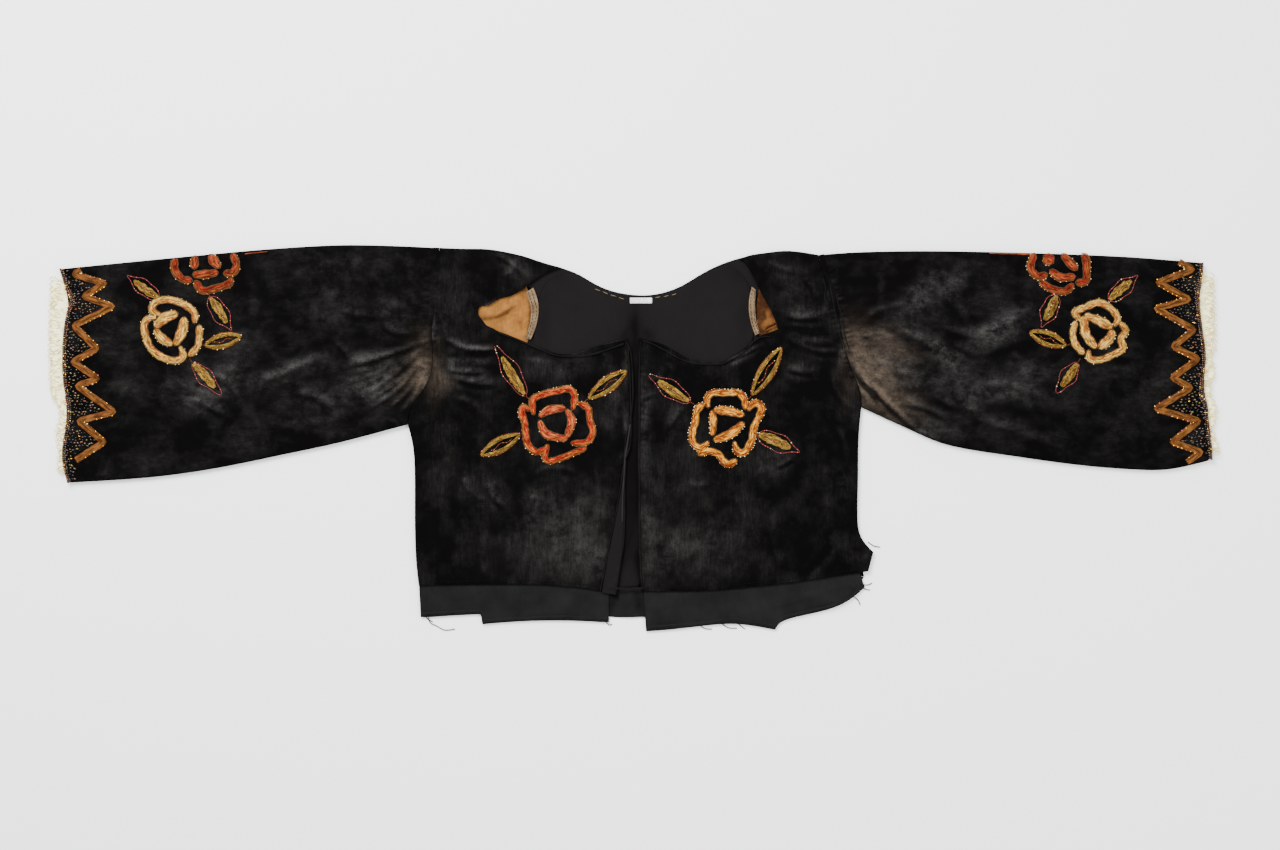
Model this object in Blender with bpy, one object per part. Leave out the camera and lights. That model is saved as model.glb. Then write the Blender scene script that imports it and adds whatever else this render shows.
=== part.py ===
# A folk bodice of black velvet with long sleeves, laid flat with its front up.
# Metres, +Z up, the cloth rests on z = 0 and the neck points along +Y. Tables are in millimetres.
import math
from collections import namedtuple

import bmesh
import bpy
from mathutils import Vector
from mathutils.bvhtree import BVHTree

MM = 0.001

# Driving sizes
WALL = 1.8 * MM  # velvet with the lining sewn to it
SEAM = 0.3 * MM  # space between two sewn pieces
LOFT = 7.0 * MM  # height of the upper cloth over the table, where nothing lifts it
FOLD_RADIUS = 3.5 * MM  # how round the sleeve turns at its long edges
LINING_WALL = 1.0 * MM
BAND_WALL = 1.2 * MM
TAPE_WALL = 0.8 * MM
FREE_EDGE_TOP = 5.4 * MM  # a cut edge of the front lies down on the layers below
SIDE_EDGE_TOP = 3.9 * MM  # the front's edge where it is sewn to the back
FREE_EDGE_REACH = 24 * MM
SIDE_EDGE_REACH = 9 * MM
TRIM_LIFT = 0.5 * MM  # trim sewn on a panel stands this far off the coarse panel
RIBBON_WIDTH = 6.7 * MM
RIBBON_HEIGHT = 1.5 * MM
PLUSH_WIDTH = 6.6 * MM  # one thick plush stroke of a rose
PLUSH_HEIGHT = 2.4 * MM
STROKE_STEP = 0.013 * MM  # each stroke lies a little higher than the one before it
STEM_ROOT = 0.66  # a leaf's stem starts this far out from its rose's middle
LACE_TUCK = 5 * MM
LACE_SCALLOP = 1.4 * MM
LACE_START = 0.035  # the lace starts and ends this share of the way in from the cuff's corners
TAB_WALL = 0.6 * MM
SEAM_SWELL = 0.8 * MM  # the cloth stands up round the armhole seam, and dips along it
SEAM_SWELL_REACH = 70 * MM
SEAM_DIP = 0.8 * MM
SEAM_DIP_REACH = 5 * MM
HEM_CORNER = 8 * MM  # the side edge comes down to its low height this far above the hem
HEM_CORNER_REACH = 14 * MM

SLEEVE_RINGS = 25
FRONT_COLUMNS = 13
BACK_COLUMNS = 22
SIDE_ROWS = 8
LACE_COLUMNS = 46

VELVET = ((0.012, 0.011, 0.012), 0.85)
COTTON = ((0.035, 0.034, 0.034), 0.9)
CHARCOAL = ((0.03, 0.028, 0.03), 0.7)
TAN = ((0.45, 0.2, 0.06), 0.75)
TAPE = ((0.42, 0.36, 0.26), 0.85)
WHITE = ((0.8, 0.79, 0.75), 0.8)
LACE = ((0.68, 0.62, 0.45), 0.85)
RIBBON = ((0.2, 0.08, 0.015), 0.7)
ROSE_YELLOW = ((0.72, 0.45, 0.16), 0.6)
ROSE_RED = ((0.6, 0.12, 0.04), 0.6)
ROSE_GOLD = ((0.72, 0.33, 0.06), 0.6)

# Each edge of a piece is a short list of points, across and up from the middle of the laid-out bodice
Sleeve = namedtuple("Sleeve", "name fold underside cuff armhole_front armhole_back lace ribbon")

SLEEVES = (
    Sleeve(
        name="right",
        fold=((-575, 169), (-516, 175), (-433, 183), (-366, 189), (-296, 193), (-236, 192), (-196, 190)),
        underside=((-567, -45), (-500, -41), (-453, -36), (-405, -28), (-357, -18), (-296, -5), (-228, 13)),
        cuff=((-575, 169), (-569, 151), (-563, 137), (-568, 124), (-571, 103), (-572, 82), (-571, 55),
              (-567, 34), (-567, 17), (-571, -2), (-572, -22), (-567, -45)),
        armhole_front=((-196, 190), (-200, 163), (-203, 138), (-204, 103), (-202, 75), (-208, 53),
                       (-224, 34), (-228, 13)),
        armhole_back=((-196, 190), (-196.5, 181), (-181, 172), (-144, 164), (-108, 153), (-100, 128),
                      (-106, 94), (-125, 74), (-155, 57), (-190, 40), (-218, 27), (-226.5, 21), (-228, 13)),
        lace=((-583, 164), (-584, 138), (-585, 108), (-585, 78), (-583, 43), (-576, 33), (-575, 18),
              (-578, 8), (-577, -7), (-575, -14), (-577, -27), (-574, -39)),
        ribbon=((-558, 164), (-529, 154), (-550, 141), (-521, 131), (-560, 112), (-537, 89), (-561, 76),
                (-536, 59), (-557, 52), (-520, 26), (-555, 17), (-530, -4), (-558, -22)),
    ),
    Sleeve(
        name="left",
        fold=((566, 175), (508, 180), (464, 182.5), (394, 185), (298, 187), (224, 186), (182, 183)),
        underside=((575, -22), (533, -32), (499, -32), (447, -28), (387, -20), (313, -8), (271, 9), (225, 30)),
        cuff=((566, 175), (565, 163), (561, 144), (562, 131), (564, 113), (568, 81), (565, 44), (570, 31),
              (571, 10), (574, -7), (575, -22)),
        armhole_front=((182, 183), (186, 166), (193, 144), (202, 120), (207, 93), (216, 66), (224, 48), (225, 30)),
        armhole_back=((182, 183), (183, 174), (169, 166), (139, 159), (121, 151), (117, 128), (121, 100),
                      (140, 88), (170, 70), (200, 53), (219, 42), (224.3, 36), (225, 30)),
        lace=((578, 168), (584, 150), (585, 120), (583, 88), (577, 80), (583, 65), (577, 50), (584, 25),
              (578, 8), (585, -10), (582, -20)),
        ribbon=((545, 172), (556, 166), (520, 155), (551, 138), (518, 129), (556, 108), (535, 91), (560, 79),
                (534, 60), (553, 50), (518, 29), (561, 17), (534, -4), (562, -15), (551, -19)),
    ),
)

Front = namedtuple("Front", "name shoulder side neckline_and_edge hem neck_corner")

FRONTS = (
    Front(
        name="right",
        shoulder=((-196, 190), (-171, 189), (-146, 188.5), (-113, 182), (-96, 176), (-74, 170)),
        side=((-228, 13), (-223, -2), (-221, -32), (-221, -82), (-220, -122), (-217, -147)),
        neckline_and_edge=(
            (-74, 170), (-91, 166), (-106, 155), (-113, 147), (-123, 141), (-133, 137), (-148, 135),
            (-158, 125), (-153, 113), (-140, 107), (-123, 101), (-106, 94), (-80, 84), (-63, 83), (-47, 84),
            (-30, 89), (-14, 95), (-8, 99), (-4, 88), (-2, 68), (-2, 37), (-6, 13), (-10, -9), (-11, -70),
            (-12, -106), (-15, -130), (-19, -159)),
        hem=((-217, -147), (-108, -146), (-60, -149), (-29, -153.5), (-19, -159)),
        neck_corner=(-8, 99),
    ),
    Front(
        name="left",
        shoulder=((182, 183), (163, 186), (148, 187), (130, 185), (113, 182.5), (103, 178)),
        side=((225, 30), (222, -2), (222, -40), (221, -78), (223, -102), (233, -111), (239, -117), (232, -133)),
        neckline_and_edge=(
            (103, 178), (112, 175), (116, 165), (117, 154), (123, 146), (129, 139), (136, 127), (141, 118),
            (143, 107), (136, 102), (125, 102), (116, 97), (107, 87), (90, 77), (77, 75), (57, 76), (42, 81),
            (28, 89), (14, 96), (3, 99), (2, 80), (2, 40), (2, 0), (2, -60), (3, -120), (5, -153)),
        hem=((5, -153), (75, -152), (148, -145), (199, -138), (232, -133)),
        neck_corner=(3, 99),
    ),
)

BACK_NECKLINE = (
    (-74, 170), (-67, 169), (-55, 163), (-42, 154), (-30, 148), (-17, 145), (-5, 143), (11, 142), (28, 145),
    (41, 149), (53, 156), (68, 166), (83, 173), (97, 178), (103, 178),
)
BACK_SIDE_RIGHT = ((-228, 13), (-223, -2), (-221, -32), (-221, -82), (-220, -122), (-217, -147))
BACK_SIDE_LEFT = ((225, 30), (222, -2), (222, -40), (221, -78), (223, -102), (228, -138))
BACK_HEM = ((-217, -147), (-110, -149), (0, -150), (110, -147), (228, -138))

# The lining that shows in the neck and between the fronts, and runs on under their edges
LINING_TOP = ((-66, 166), (-54, 161), (-41, 152), (-29, 146), (-5, 141.5), (11, 140.5), (28, 143.5),
              (42, 148), (54, 155), (68, 164), (92, 174))
LINING_RIGHT = ((-66, 166), (-84, 160), (-98, 153), (-97.5, 128), (-104, 94), (-90, 60), (-66, 10),
                (-44, -50), (-30, -110), (-23, -149))
LINING_LEFT = ((92, 174), (106, 165), (118.5, 152), (115, 128), (119, 100), (104, 60), (74, 10), (44, -50),
               (18, -110), (3, -149))
LINING_HEM = ((-23, -149), (-10, -149), (3, -149))

SleeveLining = namedtuple("SleeveLining", "name body_edge sleeve_edge")
SLEEVE_LININGS = (
    SleeveLining("right", ((-110.5, 155), (-102.8, 128), (-109, 92)), ((-172, 150), (-177, 122), (-170, 90))),
    SleeveLining("left", ((123.5, 153), (120, 128), (124, 97)), ((160, 151), (166, 125), (163, 94))),
)

ArmholeTape = namedtuple("ArmholeTape", "name body_edge sleeve_edge")
ARMHOLE_TAPES = (
    ArmholeTape("right", ((-102.5, 150), (-98.5, 140), (-97, 127), (-99.5, 112), (-105, 98)),
                ((-110, 145.5), (-107, 138), (-104.5, 128), (-106, 114), (-110.5, 99.5))),
    ArmholeTape("left", ((115.5, 151), (113, 140), (112.5, 128), (114.5, 115), (119, 102.5)),
                ((119.5, 148), (119, 138), (119, 127), (120.5, 115), (123.5, 104.5))),
)

# One row for each place along a hem band: its sewn edge, then its free edge
BandRow = namedtuple("BandRow", "top_x top_y low_x low_y")
BAND_RIGHT = (
    BandRow(-217, -141, -215, -179), BandRow(-206, -141, -206, -179), BandRow(-180, -141, -180, -177),
    BandRow(-155, -140.5, -155, -176), BandRow(-153, -140.5, -153.5, -186), BandRow(-130, -140.5, -130, -184),
    BandRow(-106, -140.5, -106, -182.5), BandRow(-66, -143, -66, -182), BandRow(-32, -147.5, -34, -184),
    BandRow(-27, -148.5, -27, -184),
)
BAND_LEFT = (
    BandRow(7, -148, 10, -193), BandRow(29, -147.5, 29, -192), BandRow(60, -147, 60, -188.5),
    BandRow(94, -146, 94, -184.5), BandRow(118, -144, 118, -187.5), BandRow(139, -141, 139, -191.5),
    BandRow(143, -140.5, 143.5, -182), BandRow(173, -137, 173, -176), BandRow(200, -133, 208, -168),
    BandRow(222, -130, 228.5, -149),
)
BackBandRow = namedtuple("BackBandRow", "share low_x low_y ridge")
BAND_BACK = (
    BackBandRow(0.0, -213, -170, 0), BackBandRow(0.12, -165, -170, 0), BackBandRow(0.3, -85, -174, 0),
    BackBandRow(0.42, -31, -178, 0), BackBandRow(0.45, -17, -179.5, 0.3), BackBandRow(0.475, -6, -179, 1.6),
    BackBandRow(0.5, 4, -179, 0.2), BackBandRow(0.56, 30, -178, 0), BackBandRow(0.75, 116, -174, 0),
    BackBandRow(0.9, 188, -164, 0), BackBandRow(1.0, 222, -150, 0),
)

NECK_TAB = (-6, 16, 134.5, 140)  # left, right, low and high edge

# The largest folds of the upper cloth: a soft ridge, or a trough where rise is negative, from one end to the other
Fold = namedtuple("Fold", "x0 y0 x1 y1 spread rise")
FOLDS = (
    Fold(-188, 97, -140, 90, 8, 1.6), Fold(-190, 80, -146, 79, 9, -1.2), Fold(-190, 68, -150, 66, 7, 1.4),
    Fold(-180, 52, -128, 30, 9, -1.0), Fold(-176, 36, -120, 4, 9, 0.9), Fold(-170, 168, -112, 140, 10, 0.9),
    Fold(-282, 76, -214, 96, 9, 1.8), Fold(-290, 56, -222, 80, 8, -1.0), Fold(-276, 40, -226, 72, 8, 1.6),
    Fold(-268, 30, -232, 54, 7, -1.0), Fold(-260, 22, -234, 36, 6, 1.1), Fold(-380, 54, -318, 80, 9, 1.3),
    Fold(-264, 182, -262, 104, 11, -1.1), Fold(-364, 176, -362, 96, 12, -0.8), Fold(-228, 172, -222, 112, 10, 1.0),
    Fold(-458, 46, -402, 22, 13, 1.0), Fold(-430, -12, -330, 8, 13, 0.9), Fold(-508, 60, -482, -20, 12, -0.8),
    Fold(-172, -44, -140, -80, 10, -1.0), Fold(-96, -52, -108, -100, 12, 1.0), Fold(-40, -46, -54, -140, 12, 1.2),
    Fold(-152, -90, -140, -140, 12, 0.8), Fold(-196, -20, -198, -120, 11, 0.8),
    Fold(150, 122, 184, 122, 9, 1.4), Fold(148, 104, 196, 102, 9, -1.1), Fold(150, 70, 204, 66, 9, 0.9),
    Fold(212, 78, 262, 44, 7, 1.9), Fold(226, 56, 270, 24, 6, -1.3), Fold(232, 42, 302, 2, 7, 1.8),
    Fold(250, 112, 330, 76, 10, 1.7), Fold(240, 84, 300, 62, 8, -1.1), Fold(300, 112, 388, 126, 10, 1.4),
    Fold(284, 158, 262, 116, 12, 1.1), Fold(340, 50, 392, 46, 12, 1.0), Fold(420, 20, 436, -16, 12, -0.9),
    Fold(452, 90, 500, 80, 12, 0.8), Fold(330, 20, 420, -6, 12, 0.8),
    Fold(32, 10, 52, 34, 8, 1.0), Fold(5, 36, 22, 44, 7, 0.9), Fold(126, -14, 124, -44, 8, 1.1),
    Fold(70, -66, 72, -120, 12, 0.9), Fold(40, -96, 28, -140, 10, 0.8), Fold(180, -20, 188, -100, 14, 0.9),
    Fold(200, -96, 168, -140, 10, -0.9), Fold(96, 88, 126, 78, 8, 1.0),
)

# Roses of thick plush strokes, and the leaves on their stems
Rose = namedtuple("Rose", "x y radius petals turn bud_turn")
Leaf = namedtuple("Leaf", "base_x base_y tip_x tip_y width open")
Spray = namedtuple("Spray", "name sleeve colour rose leaves")

SPRAYS = (
    Spray("spray_front_right", None, ROSE_RED, Rose(-79, 13, 39, 5, 0.35, 0.5), (
        Leaf(-110, 43, -141, 90, 13, False), Leaf(-47, 39, -8, 68, 15, True),
        Leaf(-115, 4, -157, -21, 15, True))),
    Spray("spray_front_left", None, ROSE_GOLD, Rose(88, 11, 38, 5, 0.1, 2.0), (
        Leaf(55, 34, 14, 62, 13, False), Leaf(116, 39, 145, 92, 15, True),
        Leaf(122, 4, 163, -14, 13, False))),
    Spray("spray_sleeve_right", 0, ROSE_YELLOW, Rose(-462, 108, 32, 5, 0.8, 1.1), (
        Leaf(-476, 137, -507, 161, 11, False), Leaf(-430, 92, -393, 103, 13, True),
        Leaf(-445, 74, -413, 43, 11, False))),
    Spray("spray_sleeve_left", 1, ROSE_YELLOW, Rose(461, 106, 31, 5, 0.2, 0.2), (
        Leaf(471, 135, 499, 161, 11, False), Leaf(428, 93, 392, 106, 13, True),
        Leaf(443, 80, 419, 46, 11, False))),
    Spray("spray_fold_right", 0, ROSE_RED, Rose(-431, 174, 33, 5, 3.6, 3.4), (
        Leaf(-424, 139, -405, 107, 11, False),)),
    Spray("spray_fold_left", 1, ROSE_RED, Rose(422, 175, 31, 5, 3.3, 4.0), (
        Leaf(417, 143, 403, 112, 11, False),)),
)


def clear_scene():
    for item in list(bpy.data.objects):
        bpy.data.objects.remove(item, do_unlink=True)


def cloth_material(name, finish):
    colour, roughness = finish
    material = bpy.data.materials.new(name)
    material.use_nodes = True
    shader = material.node_tree.nodes["Principled BSDF"]
    shader.inputs["Base Color"].default_value = (*colour, 1)
    shader.inputs["Roughness"].default_value = roughness
    shader.inputs["Metallic"].default_value = 0
    return material


def catmull(before, start, end, after, t):
    """A point between start and end on the smooth curve through all four."""
    return 0.5 * (
        2 * start
        + (end - before) * t
        + (2 * before - 5 * start + 4 * end - after) * t * t
        + (3 * start - before - 3 * end + after) * t ** 3
    )


def smooth_path(points, steps=8):
    """A dense path in metres on the smooth curve through a table's points."""
    rows = [Vector((x * MM, y * MM)) for x, y in points]
    path = []
    for i in range(len(rows) - 1):
        before = rows[max(i - 1, 0)]
        after = rows[min(i + 2, len(rows) - 1)]
        path += [catmull(before, rows[i], rows[i + 1], after, k / steps) for k in range(steps)]
    return path + [rows[-1]]


def path_lengths(path):
    lengths = [0.0]
    for a, b in zip(path, path[1:]):
        lengths.append(lengths[-1] + (b - a).length)
    return lengths


def along(path, share):
    """The point at a share of the path's length."""
    lengths = path_lengths(path)
    wanted = min(max(share, 0.0), 1.0) * lengths[-1]
    for i in range(len(path) - 1):
        if lengths[i + 1] >= wanted:
            part = (wanted - lengths[i]) / max(lengths[i + 1] - lengths[i], 1e-9)
            return path[i].lerp(path[i + 1], part)
    return path[-1].copy()


def distance_to(path, point):
    """The shortest distance from a point to a path."""
    nearest = 1.0
    for a, b in zip(path, path[1:]):
        step = b - a
        t = max(0.0, min(1.0, (point - a).dot(step) / max(step.length_squared, 1e-12)))
        nearest = min(nearest, (a + step * t - point).length)
    return nearest


def ease(value):
    value = max(0.0, min(1.0, value))
    return value * value * (3 - 2 * value)


def quarter_round(value):
    value = max(0.0, min(1.0, value))
    return math.sqrt(max(0.0, 1 - (1 - value) ** 2))


def bow(path, share):
    """How far a curved edge stands off the straight line between its ends."""
    return along(path, share) - path[0].lerp(path[-1], share)


def patch_point(start, end, top_bow, low_bow, across, down):
    """A point on the row between start and end, bowed as the top and the low edge are."""
    return start.lerp(end, across) + top_bow * (1 - down) + low_bow * down


def offset_inward(points, gap, side):
    """Moves each point of an edge by the seam gap, square to the edge: side 1 is left of the way down it."""
    moved = []
    for i, point in enumerate(points):
        tangent = points[min(i + 1, len(points) - 1)] - points[max(i - 1, 0)]
        moved.append(point + Vector((-tangent.y, tangent.x)).normalized() * gap * side)
    return moved


def fold_height(point):
    """How far the folds lift or sink the upper cloth here."""
    height = 0.0
    for fold in FOLDS:
        a = Vector((fold.x0, fold.y0)) * MM
        b = Vector((fold.x1, fold.y1)) * MM
        t = (point - a).dot(b - a) / (b - a).length_squared
        if -0.25 < t < 1.25:
            off = (a + (b - a) * t - point).length / (fold.spread * MM)
            ends = ease((t + 0.25) / 0.45) * ease((1.25 - t) / 0.45)
            height += fold.rise * MM * ends * math.exp(-off * off)
    return height


SEAM_PATHS = [smooth_path(sleeve.armhole_front) for sleeve in SLEEVES]


def cloth_top(point):
    """The top of the upper cloth over the whole bodice, before its edges come down."""
    seam = min(distance_to(path, point) for path in SEAM_PATHS)
    swell = SEAM_SWELL * math.exp(-((seam / SEAM_SWELL_REACH) ** 2))
    dip = SEAM_DIP * math.exp(-((seam / SEAM_DIP_REACH) ** 2))
    return LOFT + swell - dip + fold_height(point)


def grid_panel(name, columns, rows, outer, inner, finish, closed_round=False):
    """A closed wall: outer and inner each give a point for a column and a row of the same grid."""
    bm = bmesh.new()
    bmesh.ops.create_grid(bm, x_segments=columns, y_segments=rows, size=0.5)
    places = {}
    for vert in bm.verts:
        places[vert] = (round((vert.co.x + 0.5) * columns), round((vert.co.y + 0.5) * rows))
    faces = list(bm.faces)
    made = bmesh.ops.extrude_face_region(bm, geom=faces)
    lower = [item for item in made["geom"] if isinstance(item, bmesh.types.BMVert)]
    lower_places = {
        vert: (round((vert.co.x + 0.5) * columns), round((vert.co.y + 0.5) * rows)) for vert in lower
    }
    for vert, (column, row) in places.items():
        vert.co = outer(column, row)
    for vert, (column, row) in lower_places.items():
        vert.co = inner(column, row)
    if closed_round:
        seam_faces = [
            face for face in bm.faces
            if all((places.get(v) or lower_places[v])[0] in (0, columns) for v in face.verts)
        ]
        bmesh.ops.delete(bm, geom=seam_faces, context="FACES_ONLY")
        bmesh.ops.remove_doubles(bm, verts=bm.verts, dist=1e-7)
    return finish_mesh(name, bm, finish)


def finish_mesh(name, bm, finish):
    bmesh.ops.recalc_face_normals(bm, faces=bm.faces)
    if bm.calc_volume(signed=True) < 0:
        bmesh.ops.reverse_faces(bm, faces=bm.faces)
    mesh = bpy.data.meshes.new(name)
    bm.to_mesh(mesh)
    bm.free()
    mesh.materials.append(cloth_material(name, finish))
    mesh.shade_smooth()
    mesh.set_sharp_from_angle(angle=math.radians(50))
    item = bpy.data.objects.new(name, mesh)
    bpy.context.scene.collection.objects.link(item)
    return item


# Places round the sleeve: how far in from a long edge, or which share of the way across
Station = namedtuple("Station", "edge share rise")
UPPER_STATIONS = (
    Station("fold", 0, 0), Station("fold", 0.3, 0.72), Station("fold", 1, 1),
    *(Station("across", share, 1) for share in (0.09, 0.18, 0.27, 0.36, 0.45, 0.54, 0.63, 0.72, 0.81, 0.9)),
    Station("underside", 1, 1), Station("underside", 0.3, 0.72), Station("underside", 0, 0),
)
LOWER_STATIONS = (
    Station("fold", 0, 0), Station("fold", 0.3, 0.72), Station("fold", 1, 1),
    *(Station("across", share, 1) for share in (0.1, 0.2, 0.34, 0.5, 0.66, 0.8, 0.9)),
    Station("underside", 1, 1), Station("underside", 0.3, 0.72), Station("underside", 0, 0),
)


def station_share(station, width, depth=0.0):
    """The share of the way across for a station, moved in by the wall when depth is given."""
    if station.edge == "across":
        return station.share
    reach = FOLD_RADIUS * station.share
    inset = (reach + depth * (1 - station.share)) / width
    return inset if station.edge == "fold" else 1 - inset


def build_sleeve(sleeve):
    """A flattened tube, open at the cuff and at the armhole, whose upper wall carries the folds."""
    fold = smooth_path(sleeve.fold)
    under = smooth_path(sleeve.underside)
    cuff = smooth_path(sleeve.cuff)
    ends = {1: smooth_path(sleeve.armhole_front), -1: smooth_path(sleeve.armhole_back)}
    ring = [(1, station) for station in UPPER_STATIONS]
    ring += [(-1, station) for station in reversed(LOWER_STATIONS)][1:]
    columns = len(ring) - 1
    middle = LOFT / 2
    ring_shares = [1 - (1 - k / SLEEVE_RINGS) ** 1.25 for k in range(SLEEVE_RINGS + 1)]

    def point(column, row, depth):
        side, station = ring[column % columns]
        length = ring_shares[row]
        width = (along(fold, length) - along(under, length)).length
        share = station_share(station, width, depth)
        place = patch_point(
            along(cuff, share), along(ends[side], share), bow(fold, length), bow(under, length), length, share
        )
        if side > 0:
            half = cloth_top(place) - middle - depth
        else:
            half = middle - depth
        return (place.x, place.y, middle + side * half * station.rise)

    return grid_panel(
        "sleeve_" + sleeve.name, columns, SLEEVE_RINGS,
        lambda c, r: point(c, r, 0.0), lambda c, r: point(c, r, WALL), VELVET, closed_round=True,
    )


def edge_points(armhole, side_seam, stations, side):
    """One edge of a body panel: the sleeve's own points round the armhole, then on down the side seam."""
    points = [along(armhole, share) for share in stations]
    points += [along(side_seam, (k + 1) / SIDE_ROWS) for k in range(SIDE_ROWS)]
    return offset_inward(points, SEAM, side)


def armhole_shares(stations, sleeve):
    """The shares at which a sleeve's wall ends on its armhole."""
    width = (Vector(sleeve.fold[-1]) - Vector(sleeve.underside[-1])).length * MM
    return [station_share(station, width) for station in stations]


def build_front(front, sleeve):
    """A front panel, from the shoulder fold to the hem, with its free edges lying down."""
    shoulder = smooth_path(front.shoulder)
    side = smooth_path(front.side)
    free = smooth_path(front.neckline_and_edge)
    hem = smooth_path(front.hem)
    if front.name == "left":
        hem.reverse()
    outer_edge = edge_points(
        smooth_path(sleeve.armhole_front), side, armhole_shares(UPPER_STATIONS, sleeve),
        1 if front.name == "right" else -1,
    )
    rows = len(outer_edge) - 1
    outer_lengths = path_lengths(outer_edge)
    neck_count = len(UPPER_STATIONS) - 1
    neck_share = neck_end_share(free, Vector(front.neck_corner) * MM)

    def free_share(row):
        if row <= neck_count:
            return neck_share * outer_lengths[row] / outer_lengths[neck_count]
        part = (outer_lengths[row] - outer_lengths[neck_count]) / (outer_lengths[-1] - outer_lengths[neck_count])
        return neck_share + (1 - neck_share) * part

    def place(column, row):
        across = column / FRONT_COLUMNS
        down = outer_lengths[row] / outer_lengths[-1]
        return patch_point(
            outer_edge[row], along(free, free_share(row)), bow(shoulder, across), bow(hem, across), across, down
        )

    def top(point):
        height = cloth_top(point)
        free_reach = min(distance_to(free, point), distance_to(hem, point))
        height = FREE_EDGE_TOP + (height - FREE_EDGE_TOP) * ease(free_reach / FREE_EDGE_REACH)
        sewn = quarter_round(min(distance_to(shoulder, point), distance_to(side, point)) / SIDE_EDGE_REACH)
        sewn = max(sewn, 1 - ease((distance_to(hem, point) - HEM_CORNER) / HEM_CORNER_REACH))
        return SIDE_EDGE_TOP + (height - SIDE_EDGE_TOP) * sewn

    def outer(column, row):
        point = place(column, row)
        return (point.x, point.y, top(point))

    def inner(column, row):
        x, y, z = outer(column, row)
        return (x, y, z - WALL)

    return grid_panel("front_" + front.name, FRONT_COLUMNS, rows, outer, inner, VELVET)


def neck_end_share(free, corner):
    """Where on the free edge the neckline ends and the centre front edge starts."""
    lengths = path_lengths(free)
    nearest = min(range(len(free)), key=lambda i: (free[i] - corner).length)
    return lengths[nearest] / lengths[-1]


def back_edges():
    """The back's two outer edges, the same number of points on each."""
    right = edge_points(
        smooth_path(SLEEVES[0].armhole_back), smooth_path(BACK_SIDE_RIGHT),
        armhole_shares(LOWER_STATIONS, SLEEVES[0]), 1,
    )
    left = edge_points(
        smooth_path(SLEEVES[1].armhole_back), smooth_path(BACK_SIDE_LEFT),
        armhole_shares(LOWER_STATIONS, SLEEVES[1]), -1,
    )
    return right, left


def build_back():
    right_front, left_front = FRONTS
    top = smooth_path(right_front.shoulder + BACK_NECKLINE[1:] + left_front.shoulder[::-1][1:])
    hem = smooth_path(BACK_HEM)
    right, left = back_edges()
    rows = len(right) - 1
    lengths = path_lengths(left)

    def place(column, row, z):
        across = column / BACK_COLUMNS
        down = lengths[row] / lengths[-1]
        point = patch_point(right[row], left[row], bow(top, across), bow(hem, across), across, down)
        return (point.x, point.y, z)

    return grid_panel(
        "back", BACK_COLUMNS, rows, lambda c, r: place(c, r, WALL), lambda c, r: place(c, r, 0.0), VELVET
    )


def flat_piece(name, start, end, columns, rows, base, wall, finish, top=None, low=None):
    """A thin level piece between two edges, with its own top and low edge where they are curved."""
    start_path = smooth_path(start)
    end_path = smooth_path(end)
    top_path = smooth_path(top or (start[0], end[0]))
    low_path = smooth_path(low or (start[-1], end[-1]))

    def place(column, row, z):
        across = column / columns
        down = row / rows
        point = patch_point(
            along(start_path, down), along(end_path, down), bow(top_path, across), bow(low_path, across),
            across, down,
        )
        return (point.x, point.y, z)

    return grid_panel(
        name, columns, rows, lambda c, r: place(c, r, base + wall), lambda c, r: place(c, r, base), finish
    )


def build_linings():
    base = WALL + SEAM
    flat_piece("back_lining", LINING_RIGHT, LINING_LEFT, 14, 14, base, LINING_WALL, CHARCOAL, LINING_TOP, LINING_HEM)
    for lining in SLEEVE_LININGS:
        flat_piece("sleeve_lining_" + lining.name, lining.body_edge, lining.sleeve_edge, 4, 5, base, LINING_WALL, TAN)
    tape_base = base + LINING_WALL + SEAM
    for tape in ARMHOLE_TAPES:
        flat_piece("armhole_tape_" + tape.name, tape.body_edge, tape.sleeve_edge, 1, 8, tape_base, TAPE_WALL, TAPE)
    left, right, low, high = NECK_TAB
    flat_piece("neck_tab", ((left, high), (left, low)), ((right, high), (right, low)), 2, 1, tape_base, TAB_WALL, WHITE)


# The height of a front band's top from its sewn edge down to its free edge
BandLevel = namedtuple("BandLevel", "share top")
BAND_LEVELS = (BandLevel(0.0, 3.3), BandLevel(0.36, 3.3), BandLevel(0.6, 3.0), BandLevel(1.0, 2.8))


def build_front_band(name, rows):
    def place(column, level, depth):
        row = rows[column]
        start = Vector((row.top_x, row.top_y)) * MM
        end = Vector((row.low_x, row.low_y)) * MM
        point = start.lerp(end, BAND_LEVELS[level].share)
        return (point.x, point.y, BAND_LEVELS[level].top * MM - depth)

    grid_panel(
        name, len(rows) - 1, len(BAND_LEVELS) - 1,
        lambda c, r: place(c, r, 0.0), lambda c, r: place(c, r, BAND_WALL), COTTON,
    )


def build_back_band():
    right, left = back_edges()
    hem = smooth_path(BACK_HEM)

    def sewn_edge(share):
        """A point on the back's own hem, between its columns, and the seam gap below it."""
        first = min(int(BACK_COLUMNS * share), BACK_COLUMNS - 1)
        points = [
            right[-1].lerp(left[-1], column / BACK_COLUMNS) + bow(hem, column / BACK_COLUMNS)
            for column in (first, first + 1)
        ]
        return points[0].lerp(points[1], BACK_COLUMNS * share - first) - Vector((0, 2 * SEAM))

    def place(column, row, z):
        band = BAND_BACK[column]
        point = sewn_edge(band.share).lerp(Vector((band.low_x, band.low_y)) * MM, row / 2)
        lift = band.ridge * MM * (0.4 + 0.6 * row / 2) if z > 0 else 0.0
        return (point.x, point.y, z + lift)

    grid_panel(
        "hem_band_back", len(BAND_BACK) - 1, 2,
        lambda c, r: place(c, r, BAND_WALL), lambda c, r: place(c, r, 0.0), COTTON,
    )


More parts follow.
